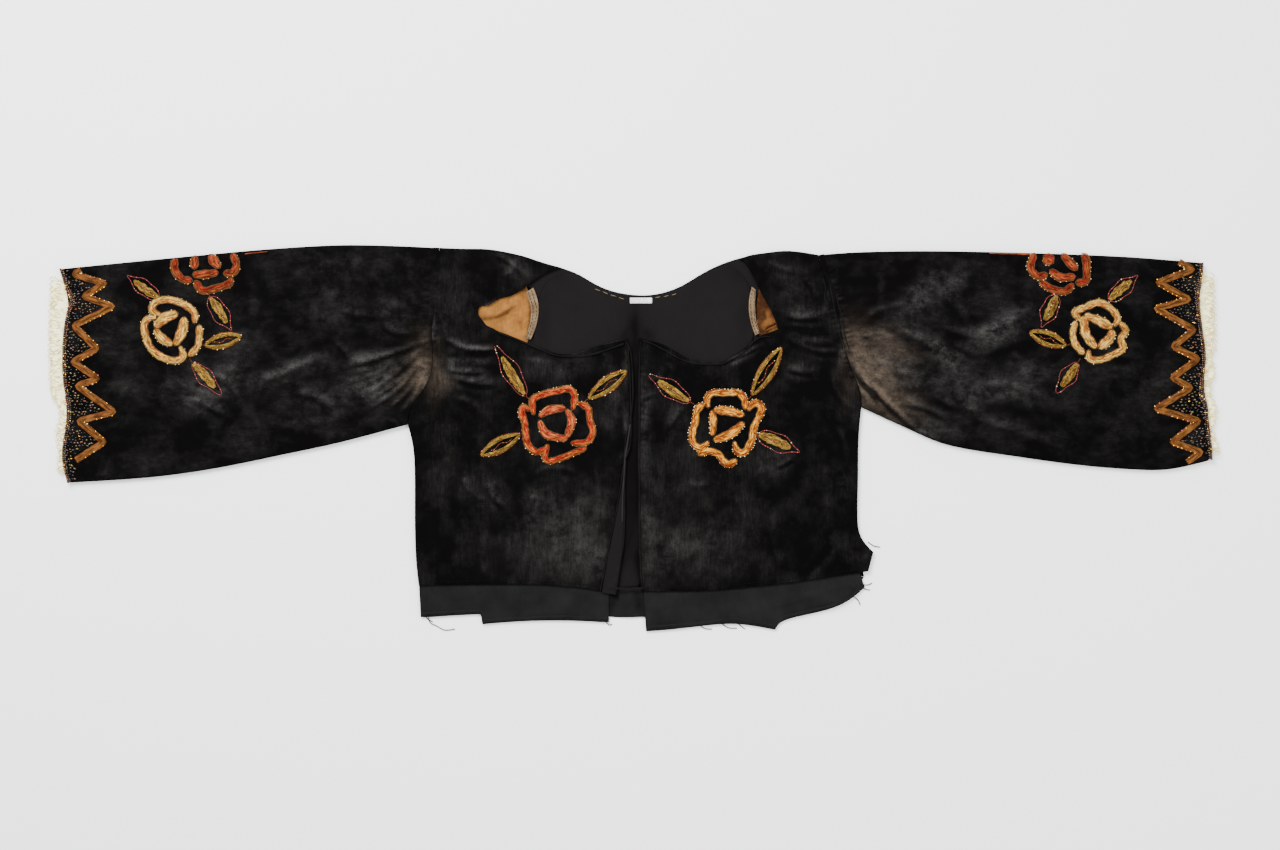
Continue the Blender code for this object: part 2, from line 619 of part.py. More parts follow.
def build_lace(sleeve):
    """A lace edging tucked into the cuff's mouth, which comes out past the cuff."""
    cuff = smooth_path(sleeve.cuff)
    outline = smooth_path(sleeve.lace)
    towards_body = 1 if sleeve.name == "right" else -1

    def place(column, row, z):
        share = LACE_START + (1 - 2 * LACE_START) * column / LACE_COLUMNS
        start = along(cuff, share) + Vector((towards_body * LACE_TUCK, 0))
        end = along(outline, share)
        end.x += towards_body * LACE_SCALLOP * math.cos(column * math.pi / 2)
        point = start.lerp(end, row / 2)
        return (point.x, point.y, z)

    base = WALL + SEAM
    grid_panel(
        "cuff_lace_" + sleeve.name, LACE_COLUMNS, 2,
        lambda c, r: place(c, r, base + LINING_WALL), lambda c, r: place(c, r, base), LACE,
    )


def surface_of(item):
    item.data.calc_loop_triangles()
    return BVHTree.FromPolygons(
        [vert.co for vert in item.data.vertices], [list(face.vertices) for face in item.data.loop_triangles]
    )


def height_on(surface, point):
    hit = surface.ray_cast(Vector((point.x, point.y, 0.1)), Vector((0, 0, -1)))[0]
    return None if hit is None else hit.z


# The cross-section of a strip of trim: how far out, as a share of its half width, and how high
PLUSH_SECTION = ((1, 0.0), (1, 0.6), (0.4, 1.0), (-0.4, 1.0), (-1, 0.6), (-1, 0.0))
RIBBON_SECTION = ((1, 0.0), (0.8, 1.0), (-0.8, 1.0), (-1, 0.0))


def sweep(bm, surface, centre, half_widths, height, section, lift=TRIM_LIFT):
    """One closed strip along a path on a panel, with a flat base and narrower top."""
    rings = []
    for i, point in enumerate(centre):
        before = centre[max(i - 1, 0)]
        after = centre[min(i + 1, len(centre) - 1)]
        ahead = (after - point).normalized() if i < len(centre) - 1 else (point - before).normalized()
        behind = (point - before).normalized() if i > 0 else ahead
        tangent = (ahead + behind).normalized()
        miter = min(1.0 / max(tangent.dot(ahead), 0.3), 1.35)
        normal = Vector((-tangent.y, tangent.x)) * miter
        ring = []
        for side, level in section:
            spot = point + normal * half_widths[i] * side
            base = height_on(surface, spot) or height_on(surface, point) or LOFT
            ring.append(bm.verts.new((spot.x, spot.y, base + lift + level * height)))
        rings.append(ring)
    for a, b in zip(rings, rings[1:]):
        for k in range(len(a)):
            n = (k + 1) % len(a)
            bm.faces.new((a[k], a[n], b[n], b[k]))
    bm.faces.new(rings[0])
    bm.faces.new(rings[-1][::-1])


def build_ribbon(sleeve, surface):
    """The zigzag of velvet ribbon round the cuff."""
    turns = [Vector(point) * MM for point in sleeve.ribbon]
    centre = []
    for a, b in zip(turns, turns[1:]):
        centre += [a.lerp(b, part / 4) for part in range(4)]
    centre.append(turns[-1])
    bm = bmesh.new()
    sweep(bm, surface, centre, [RIBBON_WIDTH / 2] * len(centre), RIBBON_HEIGHT, RIBBON_SECTION)
    return finish_mesh("cuff_zigzag_" + sleeve.name, bm, RIBBON)


def petal_path(rose, index, steps=6):
    """One outer petal: an arc that bulges out and turns in at both ends, over its neighbour's end."""
    centre = Vector((rose.x, rose.y)) * MM
    width = 2 * math.pi / rose.petals
    path = []
    for k in range(steps + 1):
        part = k / steps
        angle = rose.turn + (index + part * 1.08 - 0.04) * width
        reach = rose.radius * MM - PLUSH_WIDTH / 2
        reach *= 0.8 + 0.2 * math.sin(math.pi * part) ** 0.7
        path.append(centre + Vector((math.cos(angle), math.sin(angle))) * reach)
    return path


def bud_path(rose, index, steps=4):
    """One of the three strokes of the bud, set like the sides of a rounded triangle."""
    centre = Vector((rose.x, rose.y)) * MM
    reach = 0.5 * rose.radius * MM
    first = rose.bud_turn + index * 2 * math.pi / 3
    corners = [
        centre + Vector((math.cos(first + turn), math.sin(first + turn))) * reach
        for turn in (0.0, 2 * math.pi / 3)
    ]
    outward = ((corners[0] + corners[1]) / 2 - centre) * 0.55
    return [
        corners[0].lerp(corners[1], -0.04 + 1.08 * k / steps) + outward * math.sin(math.pi * k / steps)
        for k in range(steps + 1)
    ]


def leaf_paths(leaf, steps=5):
    """A filled leaf is one wide stroke. An open one is two bowed strokes that meet at both ends."""
    base = Vector((leaf.base_x, leaf.base_y)) * MM
    tip = Vector((leaf.tip_x, leaf.tip_y)) * MM
    side = Vector((-(tip - base).y, (tip - base).x)).normalized() * leaf.width * MM / 2
    shares = [k / steps for k in range(steps + 1)]
    if leaf.open:
        for turn in (1, -1):
            yield (
                [base.lerp(tip, s) + side * turn * 0.72 * math.sin(math.pi * s) for s in shares],
                [(1.2 + 1.5 * math.sin(math.pi * s)) * MM for s in shares],
            )
    else:
        reach = 0.8
        yield (
            [base.lerp(tip, s * reach) for s in shares],
            [(0.9 + (leaf.width / 2 - 2.2) * math.sin(math.pi * (0.06 + 0.9 * s))) * MM for s in shares],
        )


def stroke_parts(spray):
    """Every stroke of a spray as a path and its half widths: petals, bud, stems and leaves."""
    rose = spray.rose
    parts = []
    for index in range(rose.petals):
        path = petal_path(rose, index)
        widths = [PLUSH_WIDTH / 2 * (0.72 + 0.28 * math.sin(math.pi * k / (len(path) - 1))) for k in range(len(path))]
        parts.append((path, widths, PLUSH_HEIGHT))
    for index in range(3):
        path = bud_path(rose, index)
        widths = [PLUSH_WIDTH / 2 * (0.7 + 0.3 * math.sin(math.pi * k / (len(path) - 1))) for k in range(len(path))]
        parts.append((path, widths, PLUSH_HEIGHT * 0.93))
    centre = Vector((rose.x, rose.y)) * MM
    bridge = Vector((math.cos(rose.bud_turn), math.sin(rose.bud_turn)))
    parts.append((
        [centre + bridge * rose.radius * MM * reach for reach in (0.44, 0.66, 0.88)],
        [1.6 * MM] * 3, PLUSH_HEIGHT * 0.5,
    ))
    for leaf in spray.leaves:
        base = Vector((leaf.base_x, leaf.base_y)) * MM
        tip = Vector((leaf.tip_x, leaf.tip_y)) * MM
        start = centre + (base - centre).normalized() * rose.radius * MM * STEM_ROOT
        end = base.lerp(tip, 0.1)
        parts.append(([start, start.lerp(end, 0.5), end], [1.1 * MM] * 3, PLUSH_HEIGHT * 0.45))
        for path, widths in leaf_paths(leaf):
            parts.append((path, widths, PLUSH_HEIGHT * 0.7))
    return parts


def clip_at_fold(parts, sleeve):
    """Keeps the strokes inside the sleeve's long edges, so that a rose at the fold shows its near half."""
    fold = smooth_path(sleeve.fold)
    kept = []
    for path, widths, height in parts:
        inside = []
        for point, width in zip(path, widths):
            limit = min(fold, key=lambda spot: abs(spot.x - point.x)).y - FOLD_RADIUS - width * 0.9
            if point.y <= limit:
                inside.append((point, width))
            elif point.y <= limit + 6 * MM:
                inside.append((Vector((point.x, limit)), width))
        if len(inside) > 2:
            kept.append(([point for point, _ in inside], [width for _, width in inside], height))
    return kept


def build_spray(spray, surface):
    """A rose and its leaves, whose strokes overlap and are united into one piece."""
    parts = stroke_parts(spray)
    if spray.sleeve is not None:
        parts = clip_at_fold(parts, SLEEVES[spray.sleeve])
    strokes = bpy.data.collections.new(spray.name + "_strokes")
    bpy.context.scene.collection.children.link(strokes)
    base = None
    for index, (path, widths, height) in enumerate(parts):
        bm = bmesh.new()
        sweep(bm, surface, path, widths, height, PLUSH_SECTION, TRIM_LIFT + STROKE_STEP * index)
        item = finish_mesh(spray.name if base is None else f"{spray.name}_stroke_{index}", bm, spray.colour)
        if base is None:
            base = item
            continue
        bpy.context.scene.collection.objects.unlink(item)
        strokes.objects.link(item)
        item.hide_render = True
        item.display_type = "WIRE"
    union = base.modifiers.new("one_piece", "BOOLEAN")
    union.operation = "UNION"
    union.operand_type = "COLLECTION"
    union.collection = strokes
    union.solver = "EXACT"
    return base


def main():
    clear_scene()
    sleeves = [build_sleeve(sleeve) for sleeve in SLEEVES]
    fronts = [build_front(front, sleeve) for front, sleeve in zip(FRONTS, SLEEVES)]
    build_back()
    build_linings()
    build_front_band("hem_band_front_right", BAND_RIGHT)
    build_front_band("hem_band_front_left", BAND_LEFT)
    build_back_band()
    sleeve_surfaces = [surface_of(item) for item in sleeves]
    front_surfaces = [surface_of(item) for item in fronts]
    for sleeve, surface in zip(SLEEVES, sleeve_surfaces):
        build_lace(sleeve)
        build_ribbon(sleeve, surface)
    for spray in SPRAYS:
        if spray.sleeve is None:
            surface = front_surfaces[0 if spray.name.endswith("right") else 1]
        else:
            surface = sleeve_surfaces[spray.sleeve]
        build_spray(spray, surface)


main()
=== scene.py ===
# Velvet bodice laid flat: cloth, plush roses, beads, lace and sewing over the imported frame
import math
import random

import bmesh
import bpy
import numpy as np
from mathutils import Matrix, Vector, noise
from mathutils.bvhtree import BVHTree


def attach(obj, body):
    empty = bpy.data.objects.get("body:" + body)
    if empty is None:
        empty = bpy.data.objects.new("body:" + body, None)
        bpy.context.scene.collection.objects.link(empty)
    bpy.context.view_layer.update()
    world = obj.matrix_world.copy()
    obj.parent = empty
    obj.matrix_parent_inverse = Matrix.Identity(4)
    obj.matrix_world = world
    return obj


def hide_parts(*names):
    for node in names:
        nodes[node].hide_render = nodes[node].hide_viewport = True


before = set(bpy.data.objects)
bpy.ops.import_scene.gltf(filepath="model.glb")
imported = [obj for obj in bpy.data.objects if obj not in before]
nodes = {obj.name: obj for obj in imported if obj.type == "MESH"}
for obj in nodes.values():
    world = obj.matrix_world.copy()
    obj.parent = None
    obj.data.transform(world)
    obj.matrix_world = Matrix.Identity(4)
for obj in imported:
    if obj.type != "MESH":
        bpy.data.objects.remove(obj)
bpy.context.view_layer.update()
mm = 0.001
print("frame loaded:", len(nodes), "nodes")

# studio: camera straight above, soft light from the neck side, a pale table
studio = {
    "height": 2.0, "lens": 56.25, "centre": (0.004, 0.013),
    "table": (0.94, 0.94, 0.945), "world": (0.95, 0.97, 1.0), "worldStrength": 1.4,
    "keyPlace": (-0.75, 1.25, 1.7), "keySize": 1.1, "keyPower": 115,
    "fillPlace": (1.3, -0.4, 1.9), "fillSize": 1.8, "fillPower": 42,
}


def addCamera():
    data = bpy.data.cameras.new("photoView")
    data.lens = studio["lens"]
    data.sensor_width = 36
    camera = bpy.data.objects.new("photoView", data)
    camera.location = (*studio["centre"], studio["height"])
    bpy.context.scene.collection.objects.link(camera)
    bpy.context.scene.camera = camera


def addLight(name, place, size, power):
    data = bpy.data.lights.new(name, "AREA")
    data.shape = "DISK"
    data.size = size
    data.energy = power
    light = bpy.data.objects.new(name, data)
    light.location = place
    light.rotation_euler = (Vector((0, 0, 0)) - Vector(place)).to_track_quat("-Z", "Y").to_euler()
    bpy.context.scene.collection.objects.link(light)


# shader helpers
def feed(tree, socket, value):
    # a link, a number, or a colour given by its red, green and blue
    if isinstance(value, bpy.types.NodeSocket):
        tree.links.new(value, socket)
    else:
        socket.default_value = (*value, 1) if socket.type == "RGBA" else value


def addNode(tree, kind, inputs=None, **settings):
    made = tree.nodes.new("ShaderNode" + kind)
    for key, value in settings.items():
        setattr(made, key, value)
    for key, value in (inputs or {}).items():
        feed(tree, made.inputs[key], value)
    return made


def calc(tree, operation, a, b=0.0, clamp=False):
    return addNode(tree, "Math", {0: a, 1: b}, operation=operation, use_clamp=clamp).outputs[0]


def times(tree, *factors, clamp=False):
    whole = factors[0]
    for factor in factors[1:]:
        whole = calc(tree, "MULTIPLY", whole, factor, clamp)
    return whole


def plus(tree, a, b, clamp=False):
    return calc(tree, "ADD", a, b, clamp)


def remap(tree, value, low, high, toLow=0.0, toHigh=1.0):
    inputs = {"Value": value, "From Min": low, "From Max": high, "To Min": toLow, "To Max": toHigh}
    return addNode(tree, "MapRange", inputs, clamp=True).outputs[0]


def blendColour(tree, factor, a, b):
    return addNode(tree, "Mix", {0: factor, 6: a, 7: b}, data_type="RGBA").outputs[2]


def scaledPlace(tree, place, scale):
    return addNode(tree, "Mapping", {"Vector": place, "Scale": scale}).outputs[0]


def noiseOf(tree, place, scale, detail=3.0, roughness=0.5):
    inputs = {"Vector": place, "Scale": scale, "Detail": detail, "Roughness": roughness}
    return addNode(tree, "TexNoise", inputs).outputs[0]


def makeGroup(name, inputs, outputs):
    group = bpy.data.node_groups.new(name, "ShaderNodeTree")
    for label, kind, value in inputs:
        socket = group.interface.new_socket(label, in_out="INPUT", socket_type="NodeSocket" + kind)
        socket.default_value = (*value, 1) if kind == "Color" else value
    for label, kind in outputs:
        group.interface.new_socket(label, in_out="OUTPUT", socket_type="NodeSocket" + kind)
    return group, group.nodes.new("NodeGroupInput"), group.nodes.new("NodeGroupOutput")


def useGroup(tree, group, inputs):
    made = tree.nodes.new("ShaderNodeGroup")
    made.node_tree = group
    for key, value in inputs.items():
        feed(tree, made.inputs[key], value)
    return made


def newMaterial(name, **sockets):
    material = bpy.data.materials.new(name)
    material.use_nodes = True
    tree = material.node_tree
    shader = tree.nodes["Principled BSDF"]
    for key, value in sockets.items():
        feed(tree, shader.inputs[key.replace("_", " ")], value)
    return material, tree, shader


def addBump(tree, shader, height, strength, distance):
    bump = addNode(tree, "Bump", {"Strength": strength, "Distance": distance, "Height": height})
    tree.links.new(bump.outputs[0], shader.inputs["Normal"])


def wireShader(tree, shader, group, strength, distance):
    # a group's colour, roughness and height go to their sockets
    tree.links.new(group.outputs["Colour"], shader.inputs["Base Color"])
    tree.links.new(group.outputs["Roughness"], shader.inputs["Roughness"])
    addBump(tree, shader, group.outputs["Height"], strength, distance)


def buildPileGroup():
    # crushed pile: large patches, streaks along the grain, thin crushed lines and single tufts; the Lit colour is
    # painted sheen and highlight, laid where the Lit Mask says
    group, start, end = makeGroup(
        "crushedPile",
        [("Place", "Vector", (0, 0, 0)), ("Dark", "Color", (0, 0, 0)), ("Lit", "Color", (0.1, 0.1, 0.1)),
         ("Worn", "Color", (0.1, 0.08, 0.04)), ("Lit Mask", "Float", 0.0), ("Worn Mask", "Float", 0.0),
         ("Grain", "Vector", (60, 240, 60)), ("Patch Scale", "Float", 24.0)],
        [("Colour", "Color"), ("Roughness", "Float"), ("Height", "Float")],
    )
    place = start.outputs["Place"]
    streak = noiseOf(group, scaledPlace(group, place, start.outputs["Grain"]), 1.0, 4.0, 0.65)
    patch = noiseOf(group, place, start.outputs["Patch Scale"], 4.0, 0.62)
    where = noiseOf(group, place, 13.0, 2.0, 0.5)
    bent = noiseOf(group, place, 75.0, 4.0, 0.6)
    tuft = noiseOf(group, place, 1500.0, 2.0, 0.6)
    offLine = times(group, calc(group, "ABSOLUTE", calc(group, "SUBTRACT", bent, 0.5)), 16.0)
    line = calc(group, "SUBTRACT", 1.0, offLine, clamp=True)
    litMask = start.outputs["Lit Mask"]
    lineShare = plus(group, remap(group, where, 0.52, 0.7, 0.0, 0.09), times(group, litMask, 0.22))
    lineShare = times(group, lineShare, remap(group, streak, 0.4, 0.65))
    grit = remap(group, tuft, 0.3, 0.7, 0.4, 1.6)
    crush = times(group, remap(group, patch, 0.48, 0.78), remap(group, streak, 0.35, 0.7, 0.25, 0.85))
    mottling = noiseOf(group, place, 58.0, 6.0, 0.74)
    mottle = remap(group, mottling, 0.4, 0.62, 0.2, 1.7)
    # painted sheen and highlight: the Lit colour laid where the Lit Mask says
    lit = times(group, litMask, mottle, remap(group, streak, 0.25, 0.72, 0.5, 1.2))
    amount = plus(group, plus(group, times(group, crush, 0.34), lit), times(group, line, lineShare))
    amount = times(group, amount, grit, clamp=True)
    colour = blendColour(group, amount, start.outputs["Dark"], start.outputs["Lit"])
    wornShare = times(group, start.outputs["Worn Mask"], remap(group, streak, 0.25, 0.75, 0.3, 1.2),
                      remap(group, mottling, 0.38, 0.64, 0.55, 1.35))
    colour = blendColour(group, times(group, wornShare, grit, clamp=True), colour, start.outputs["Worn"])
    group.links.new(colour, end.inputs["Colour"])
    group.links.new(remap(group, amount, 0.0, 1.0, 0.95, 0.7), end.inputs["Roughness"])
    height = plus(group, times(group, streak, 0.6), times(group, tuft, 0.3))
    group.links.new(plus(group, height, times(group, line, 0.2)), end.inputs["Height"])
    return group


def buildWeaveGroup():
    # plain weave with slubs and soft mottling, and painted shade: darker toward black where the mask says
    group, start, end = makeGroup(
        "plainWeave",
        [("Colour", "Color", (0.5, 0.5, 0.5)), ("Shade", "Color", (0.2, 0.2, 0.2)),
         ("Threads", "Float", 900.0), ("Mottle", "Float", 0.5), ("Mottle Scale", "Float", 30.0),
         ("Painted Shade Mask", "Float", 0.0)],
        [("Colour", "Color"), ("Roughness", "Float"), ("Height", "Float")],
    )
    place = addNode(group, "TexCoord").outputs["Object"]
    waves = []
    for direction in ("X", "Y"):
        inputs = {"Vector": place, "Scale": start.outputs["Threads"], "Distortion": 1.5, "Detail": 1.0}
        waves.append(addNode(group, "TexWave", inputs, bands_direction=direction).outputs["Fac"])
    weave = times(group, waves[0], waves[1])
    slub = noiseOf(group, scaledPlace(group, place, (900, 90, 90)), 1.0, 2.0)
    mottle = noiseOf(group, place, start.outputs["Mottle Scale"], 5.0, 0.6)
    share = times(group, remap(group, mottle, 0.35, 0.7), start.outputs["Mottle"])
    share = plus(group, share, times(group, remap(group, slub, 0.4, 0.7), 0.22), clamp=True)
    colour = blendColour(group, share, start.outputs["Colour"], start.outputs["Shade"])
    # painted shade: the shade colour taken most of the way to black
    deep = blendColour(group, 0.68, start.outputs["Shade"], (0.0012, 0.0008, 0.0008))
    paintedShadeShare = times(group, start.outputs["Painted Shade Mask"], remap(group, mottle, 0.35, 0.65, 0.72, 1.1), clamp=True)
    colour = blendColour(group, paintedShadeShare, colour, deep)
    group.links.new(colour, end.inputs["Colour"])
    group.links.new(remap(group, mottle, 0.3, 0.7, 0.72, 0.92), end.inputs["Roughness"])
    group.links.new(plus(group, weave, times(group, slub, 0.5)), end.inputs["Height"])
    return group


def buildPlushGroup():
    # thick embroidery: threads along each stroke, one colour on its outer side and one on its inner side
    group, start, end = makeGroup(
        "laidThreads",
        [("Outer", "Color", (0.8, 0.6, 0.3)), ("Inner", "Color", (0.6, 0.2, 0.05)),
         ("Light", "Color", (0.8, 0.5, 0.2)), ("Deep", "Color", (0.2, 0.05, 0.02)), ("Edge", "Float", 0.5)],
        [("Colour", "Color"), ("Roughness", "Float"), ("Height", "Float")],
    )
    uv = addNode(group, "UVMap", uv_map="strokes").outputs[0]
    across = addNode(group, "SeparateXYZ", {0: uv}).outputs["Y"]
    place = addNode(group, "TexCoord").outputs["Object"]
    thread = noiseOf(group, scaledPlace(group, uv, (100, 6.0, 1)), 1.0, 2.0, 0.6)
    tone = noiseOf(group, scaledPlace(group, uv, (60, 3.5, 1)), 1.0, 3.0, 0.6)
    fleck = noiseOf(group, place, 1700.0, 2.0, 0.6)
    wobble = times(group, calc(group, "SUBTRACT", tone, 0.5), 1.5)
    side = calc(group, "SUBTRACT", plus(group, across, wobble), start.outputs["Edge"])
    colour = blendColour(group, remap(group, side, -0.06, 0.06), start.outputs["Outer"], start.outputs["Inner"])
    colour = blendColour(group, remap(group, thread, 0.53, 0.59, 0.0, 0.9), colour, start.outputs["Light"])
    colour = blendColour(group, remap(group, thread, 0.47, 0.41, 0.0, 0.9), colour, start.outputs["Deep"])
    colour = blendColour(group, remap(group, fleck, 0.5, 0.25, 0.0, 0.6), colour, start.outputs["Deep"])
    group.links.new(colour, end.inputs["Colour"])
    group.links.new(remap(group, thread, 0.3, 0.7, 0.85, 0.5), end.inputs["Roughness"])
    group.links.new(plus(group, thread, times(group, fleck, 0.4)), end.inputs["Height"])
    return group


pileGroup, weaveGroup, plushGroup = buildPileGroup(), buildWeaveGroup(), buildPlushGroup()
# the third colour below is the lit colour of the pile: painted sheen and highlight
black, dull, pileSheenGrey = (0.0016, 0.0014, 0.0014), (0.02, 0.02, 0.02), (0.032, 0.0305, 0.029)
wornBrown = (0.064, 0.0475, 0.034)


def velvetMaterial(name, grain, dark, lit, wearAndShade):
    # the last colour is the colour of the worn pile
    material, tree, shader = newMaterial(
        name, Sheen_Weight=0.012, Sheen_Roughness=0.4, Sheen_Tint=(0.62, 0.6, 0.58), Specular_IOR_Level=0.012)
    brown = addNode(tree, "Attribute", attribute_name="brown").outputs["Fac"]
    # the lit mask attribute paints sheen and highlight on the pile; the other mask marks worn pile, lighter on the
    # lit side of creases as painted highlight
    pile = useGroup(tree, pileGroup, {
        "Place": addNode(tree, "TexCoord").outputs["Object"], "Dark": dark, "Lit": lit,
        "Worn": blendColour(tree, brown, wearAndShade, wornBrown),
        "Lit Mask": addNode(tree, "Attribute", attribute_name="pileSheen").outputs["Fac"],
        "Worn Mask": addNode(tree, "Attribute", attribute_name="wearAndShade").outputs["Fac"], "Grain": grain})
    wireShader(tree, shader, pile, 0.5, 0.0006)
    return material


def weaveMaterial(name, colour, shade, threads, mottle, mottleScale, strength, specular):
    material, tree, shader = newMaterial(name, Specular_IOR_Level=specular)
    # the mask attribute paints shade on this cloth
    weave = useGroup(tree, weaveGroup, {
        "Colour": colour, "Shade": shade, "Threads": threads, "Mottle": mottle, "Mottle Scale": mottleScale,
        "Painted Shade Mask": addNode(tree, "Attribute", attribute_name="wearAndShade").outputs["Fac"]})
    wireShader(tree, shader, weave, strength, 0.0003)
    return material


def plushMaterial(name, outer, inner, light, deep, edge):
    material, tree, shader = newMaterial(name, Sheen_Weight=0.004, Sheen_Roughness=0.4, Specular_IOR_Level=0.04)
    plush = useGroup(tree, plushGroup, {"Outer": outer, "Inner": inner, "Light": light, "Deep": deep, "Edge": edge})
    wireShader(tree, shader, plush, 0.8, 0.0005)
    return material


def threadMaterial(name, colour, shade, roughness):
    # a twisted cord: the twist follows the stroke's own UV map
    material, tree, shader = newMaterial(name, Roughness=roughness, Specular_IOR_Level=0.12)
    uv = addNode(tree, "UVMap", uv_map="strokes").outputs[0]
    turned = addNode(tree, "Mapping", {"Vector": uv, "Scale": (700, 2, 1), "Rotation": (0, 0, 0.6)}).outputs[0]
    twist = addNode(tree, "TexWave", {"Vector": turned, "Scale": 1.0, "Distortion": 0.6}).outputs["Fac"]
    tree.links.new(blendColour(tree, twist, shade, colour), shader.inputs["Base Color"])
    addBump(tree, shader, twist, 0.6, 0.0002)
    return material


def beadMaterial(name, colour, roughness, coat, metallic):
    # glass and metal beads differ a little from one to the next
    material, tree, shader = newMaterial(
        name, Roughness=roughness, Coat_Weight=coat, Coat_Roughness=0.08, Metallic=metallic, Specular_IOR_Level=0.3)
    place = addNode(tree, "TexCoord").outputs["Object"]
    tone = noiseOf(tree, place, 420.0, 1.0)
    darker = tuple(c * 0.45 for c in colour)
    tree.links.new(blendColour(tree, remap(tree, tone, 0.35, 0.65), darker, colour), shader.inputs["Base Color"])
    return material


velvetPaints = {  # grain, dark, lit and worn colours
    "sleeveVelvet": ((110, 260, 60), black, pileSheenGrey, wornBrown),
    "bodyVelvet": ((620, 85, 60), black, pileSheenGrey, (0.022, 0.0205, 0.019)),
    "edgeVelvet": ((300, 300, 300), (0.0052, 0.0049, 0.0046), (0.022, 0.02, 0.019), dull),
    # a lighter velvet: painted highlight for the ridge along the facing
    "ridgeVelvet": ((300, 90, 60), (0.014, 0.0132, 0.0128), (0.05, 0.048, 0.046), dull),
    "facingVelvet": ((420, 60, 60), (0.0062, 0.0058, 0.0056), (0.04, 0.038, 0.036), dull),
}
weavePaints = {  # name, colour, shade, threads, mottle, its scale, bump, specular
    "lining": ("charcoalLining", (0.0074, 0.0064, 0.0068), (0.0056, 0.0049, 0.0052), 1300, 0.6, 14, 0.25, 0.01),
    "cotton": ("darkCotton", (0.0062, 0.0061, 0.0061), (0.0028, 0.0028, 0.003), 800, 0.6, 40, 0.5, 0.08),
    "tan": ("tanSateen", (0.228, 0.1, 0.0235), (0.11, 0.042, 0.0115), 1200, 0.95, 85, 0.3, 0.03),
    "tanShaded": ("tanShaded", (0.185, 0.08, 0.02), (0.07, 0.0245, 0.0085), 1200, 0.95, 85, 0.3, 0.03),
    # near black: the painted shadow in the fold of the tan lining
    "tanFold": ("tanFold", (0.032, 0.0065, 0.004), (0.014, 0.0035, 0.0025), 1200, 0.9, 85, 0.3, 0.01),
    "tape": ("paleTape", (0.21, 0.15, 0.088), (0.105, 0.062, 0.034), 700, 0.9, 150, 0.8, 0.03),
    "tab": ("whiteTab", (0.85, 0.85, 0.84), (0.4, 0.4, 0.38), 900, 0.6, 90, 0.5, 0.5),
    "greyRoll": ("greyRoll", (0.0085, 0.0083, 0.0083), (0.004, 0.004, 0.004), 800, 0.6, 90, 0.5, 0.08),
}
plushPaints = {  # outer, inner, light and deep threads, and where the outer colour ends
    "brownRibbon": ((0.084, 0.031, 0.0062), (0.08, 0.0235, 0.005), (0.14, 0.052, 0.011), (0.028, 0.01, 0.002), 0.5),
    "roseRed": ((0.21, 0.058, 0.011), (0.25, 0.0045, 0.0045), (0.52, 0.12, 0.02), (0.06, 0.007, 0.004), 0.4),
    "roseRedBud": ((0.27, 0.052, 0.014), (0.23, 0.009, 0.006), (0.5, 0.14, 0.04), (0.07, 0.009, 0.005), 0.5),
    "roseFold": ((0.13, 0.034, 0.009), (0.13, 0.0048, 0.0042), (0.25, 0.047, 0.012), (0.03, 0.005, 0.0025), 0.42),
    "roseFoldBud": ((0.16, 0.03, 0.008), (0.15, 0.008, 0.005), (0.3, 0.07, 0.02), (0.035, 0.006, 0.003), 0.5),
    "roseGoldBud": ((0.42, 0.15, 0.012), (0.22, 0.034, 0.004), (0.68, 0.33, 0.03), (0.08, 0.012, 0.003), 0.5),
    "roseGold": ((0.22, 0.038, 0.005), (0.46, 0.175, 0.011), (0.7, 0.36, 0.035), (0.08, 0.012, 0.003), 0.5),
    "roseYellow": ((0.36, 0.21, 0.038), (0.28, 0.078, 0.012), (0.62, 0.39, 0.085), (0.1, 0.036, 0.008), 0.46),
    "leafGold": ((0.14, 0.074, 0.013), (0.17, 0.1, 0.017), (0.27, 0.18, 0.03), (0.04, 0.019, 0.005), 0.5),
}
threadPaints = {  # colour, shade and roughness
    "goldCord": ((0.11, 0.055, 0.016), (0.018, 0.009, 0.004), 0.6),
    "rustCord": ((0.13, 0.026, 0.008), (0.03, 0.007, 0.003), 0.6),
    "cuffRoll": ((0.05, 0.02, 0.007), (0.012, 0.005, 0.002), 0.6),
    "pinkThread": ((0.2, 0.036, 0.036), (0.06, 0.012, 0.012), 0.6),
    "paleThread": ((0.3, 0.23, 0.1), (0.11, 0.08, 0.03), 0.6),
    "darkThread": ((0.004, 0.0038, 0.0038), (0.0015, 0.0015, 0.0015), 0.95),
    "hemThread": ((0.0019, 0.0018, 0.0018), (0.0009, 0.0009, 0.0009), 1.0),
    "greyThread": ((0.02, 0.014, 0.009), (0.006, 0.005, 0.004), 0.9),
    "laceThread": ((0.95, 0.86, 0.48), (0.6, 0.51, 0.22), 0.6),
}
beadPaints = {  # colour, roughness, coat and how metallic
    "gold": ((1.0, 0.5, 0.06), 0.15, 0.5, 0.85),
    "amber": ((0.15, 0.042, 0.01), 0.12, 0.3, 0.0),
    "brown": ((0.06, 0.021, 0.009), 0.16, 0.2, 0.0),
    "pearl": ((0.6, 0.48, 0.3), 0.2, 0.5, 0.0),
    "pink": ((0.48, 0.07, 0.08), 0.12, 0.5, 0.0),
    "lilac": ((0.08, 0.04, 0.05), 0.12, 0.35, 0.0),
    "olive": ((0.1, 0.075, 0.017), 0.12, 0.3, 0.0),
    "jet": ((0.004, 0.0035, 0.004), 0.16, 0.05, 0.0),
    "smoke": ((0.045, 0.035, 0.022), 0.14, 0.2, 0.0),
}
paints = {name: velvetMaterial(name, *row) for name, row in velvetPaints.items()}
paints.update({key: weaveMaterial(*row) for key, row in weavePaints.items()})
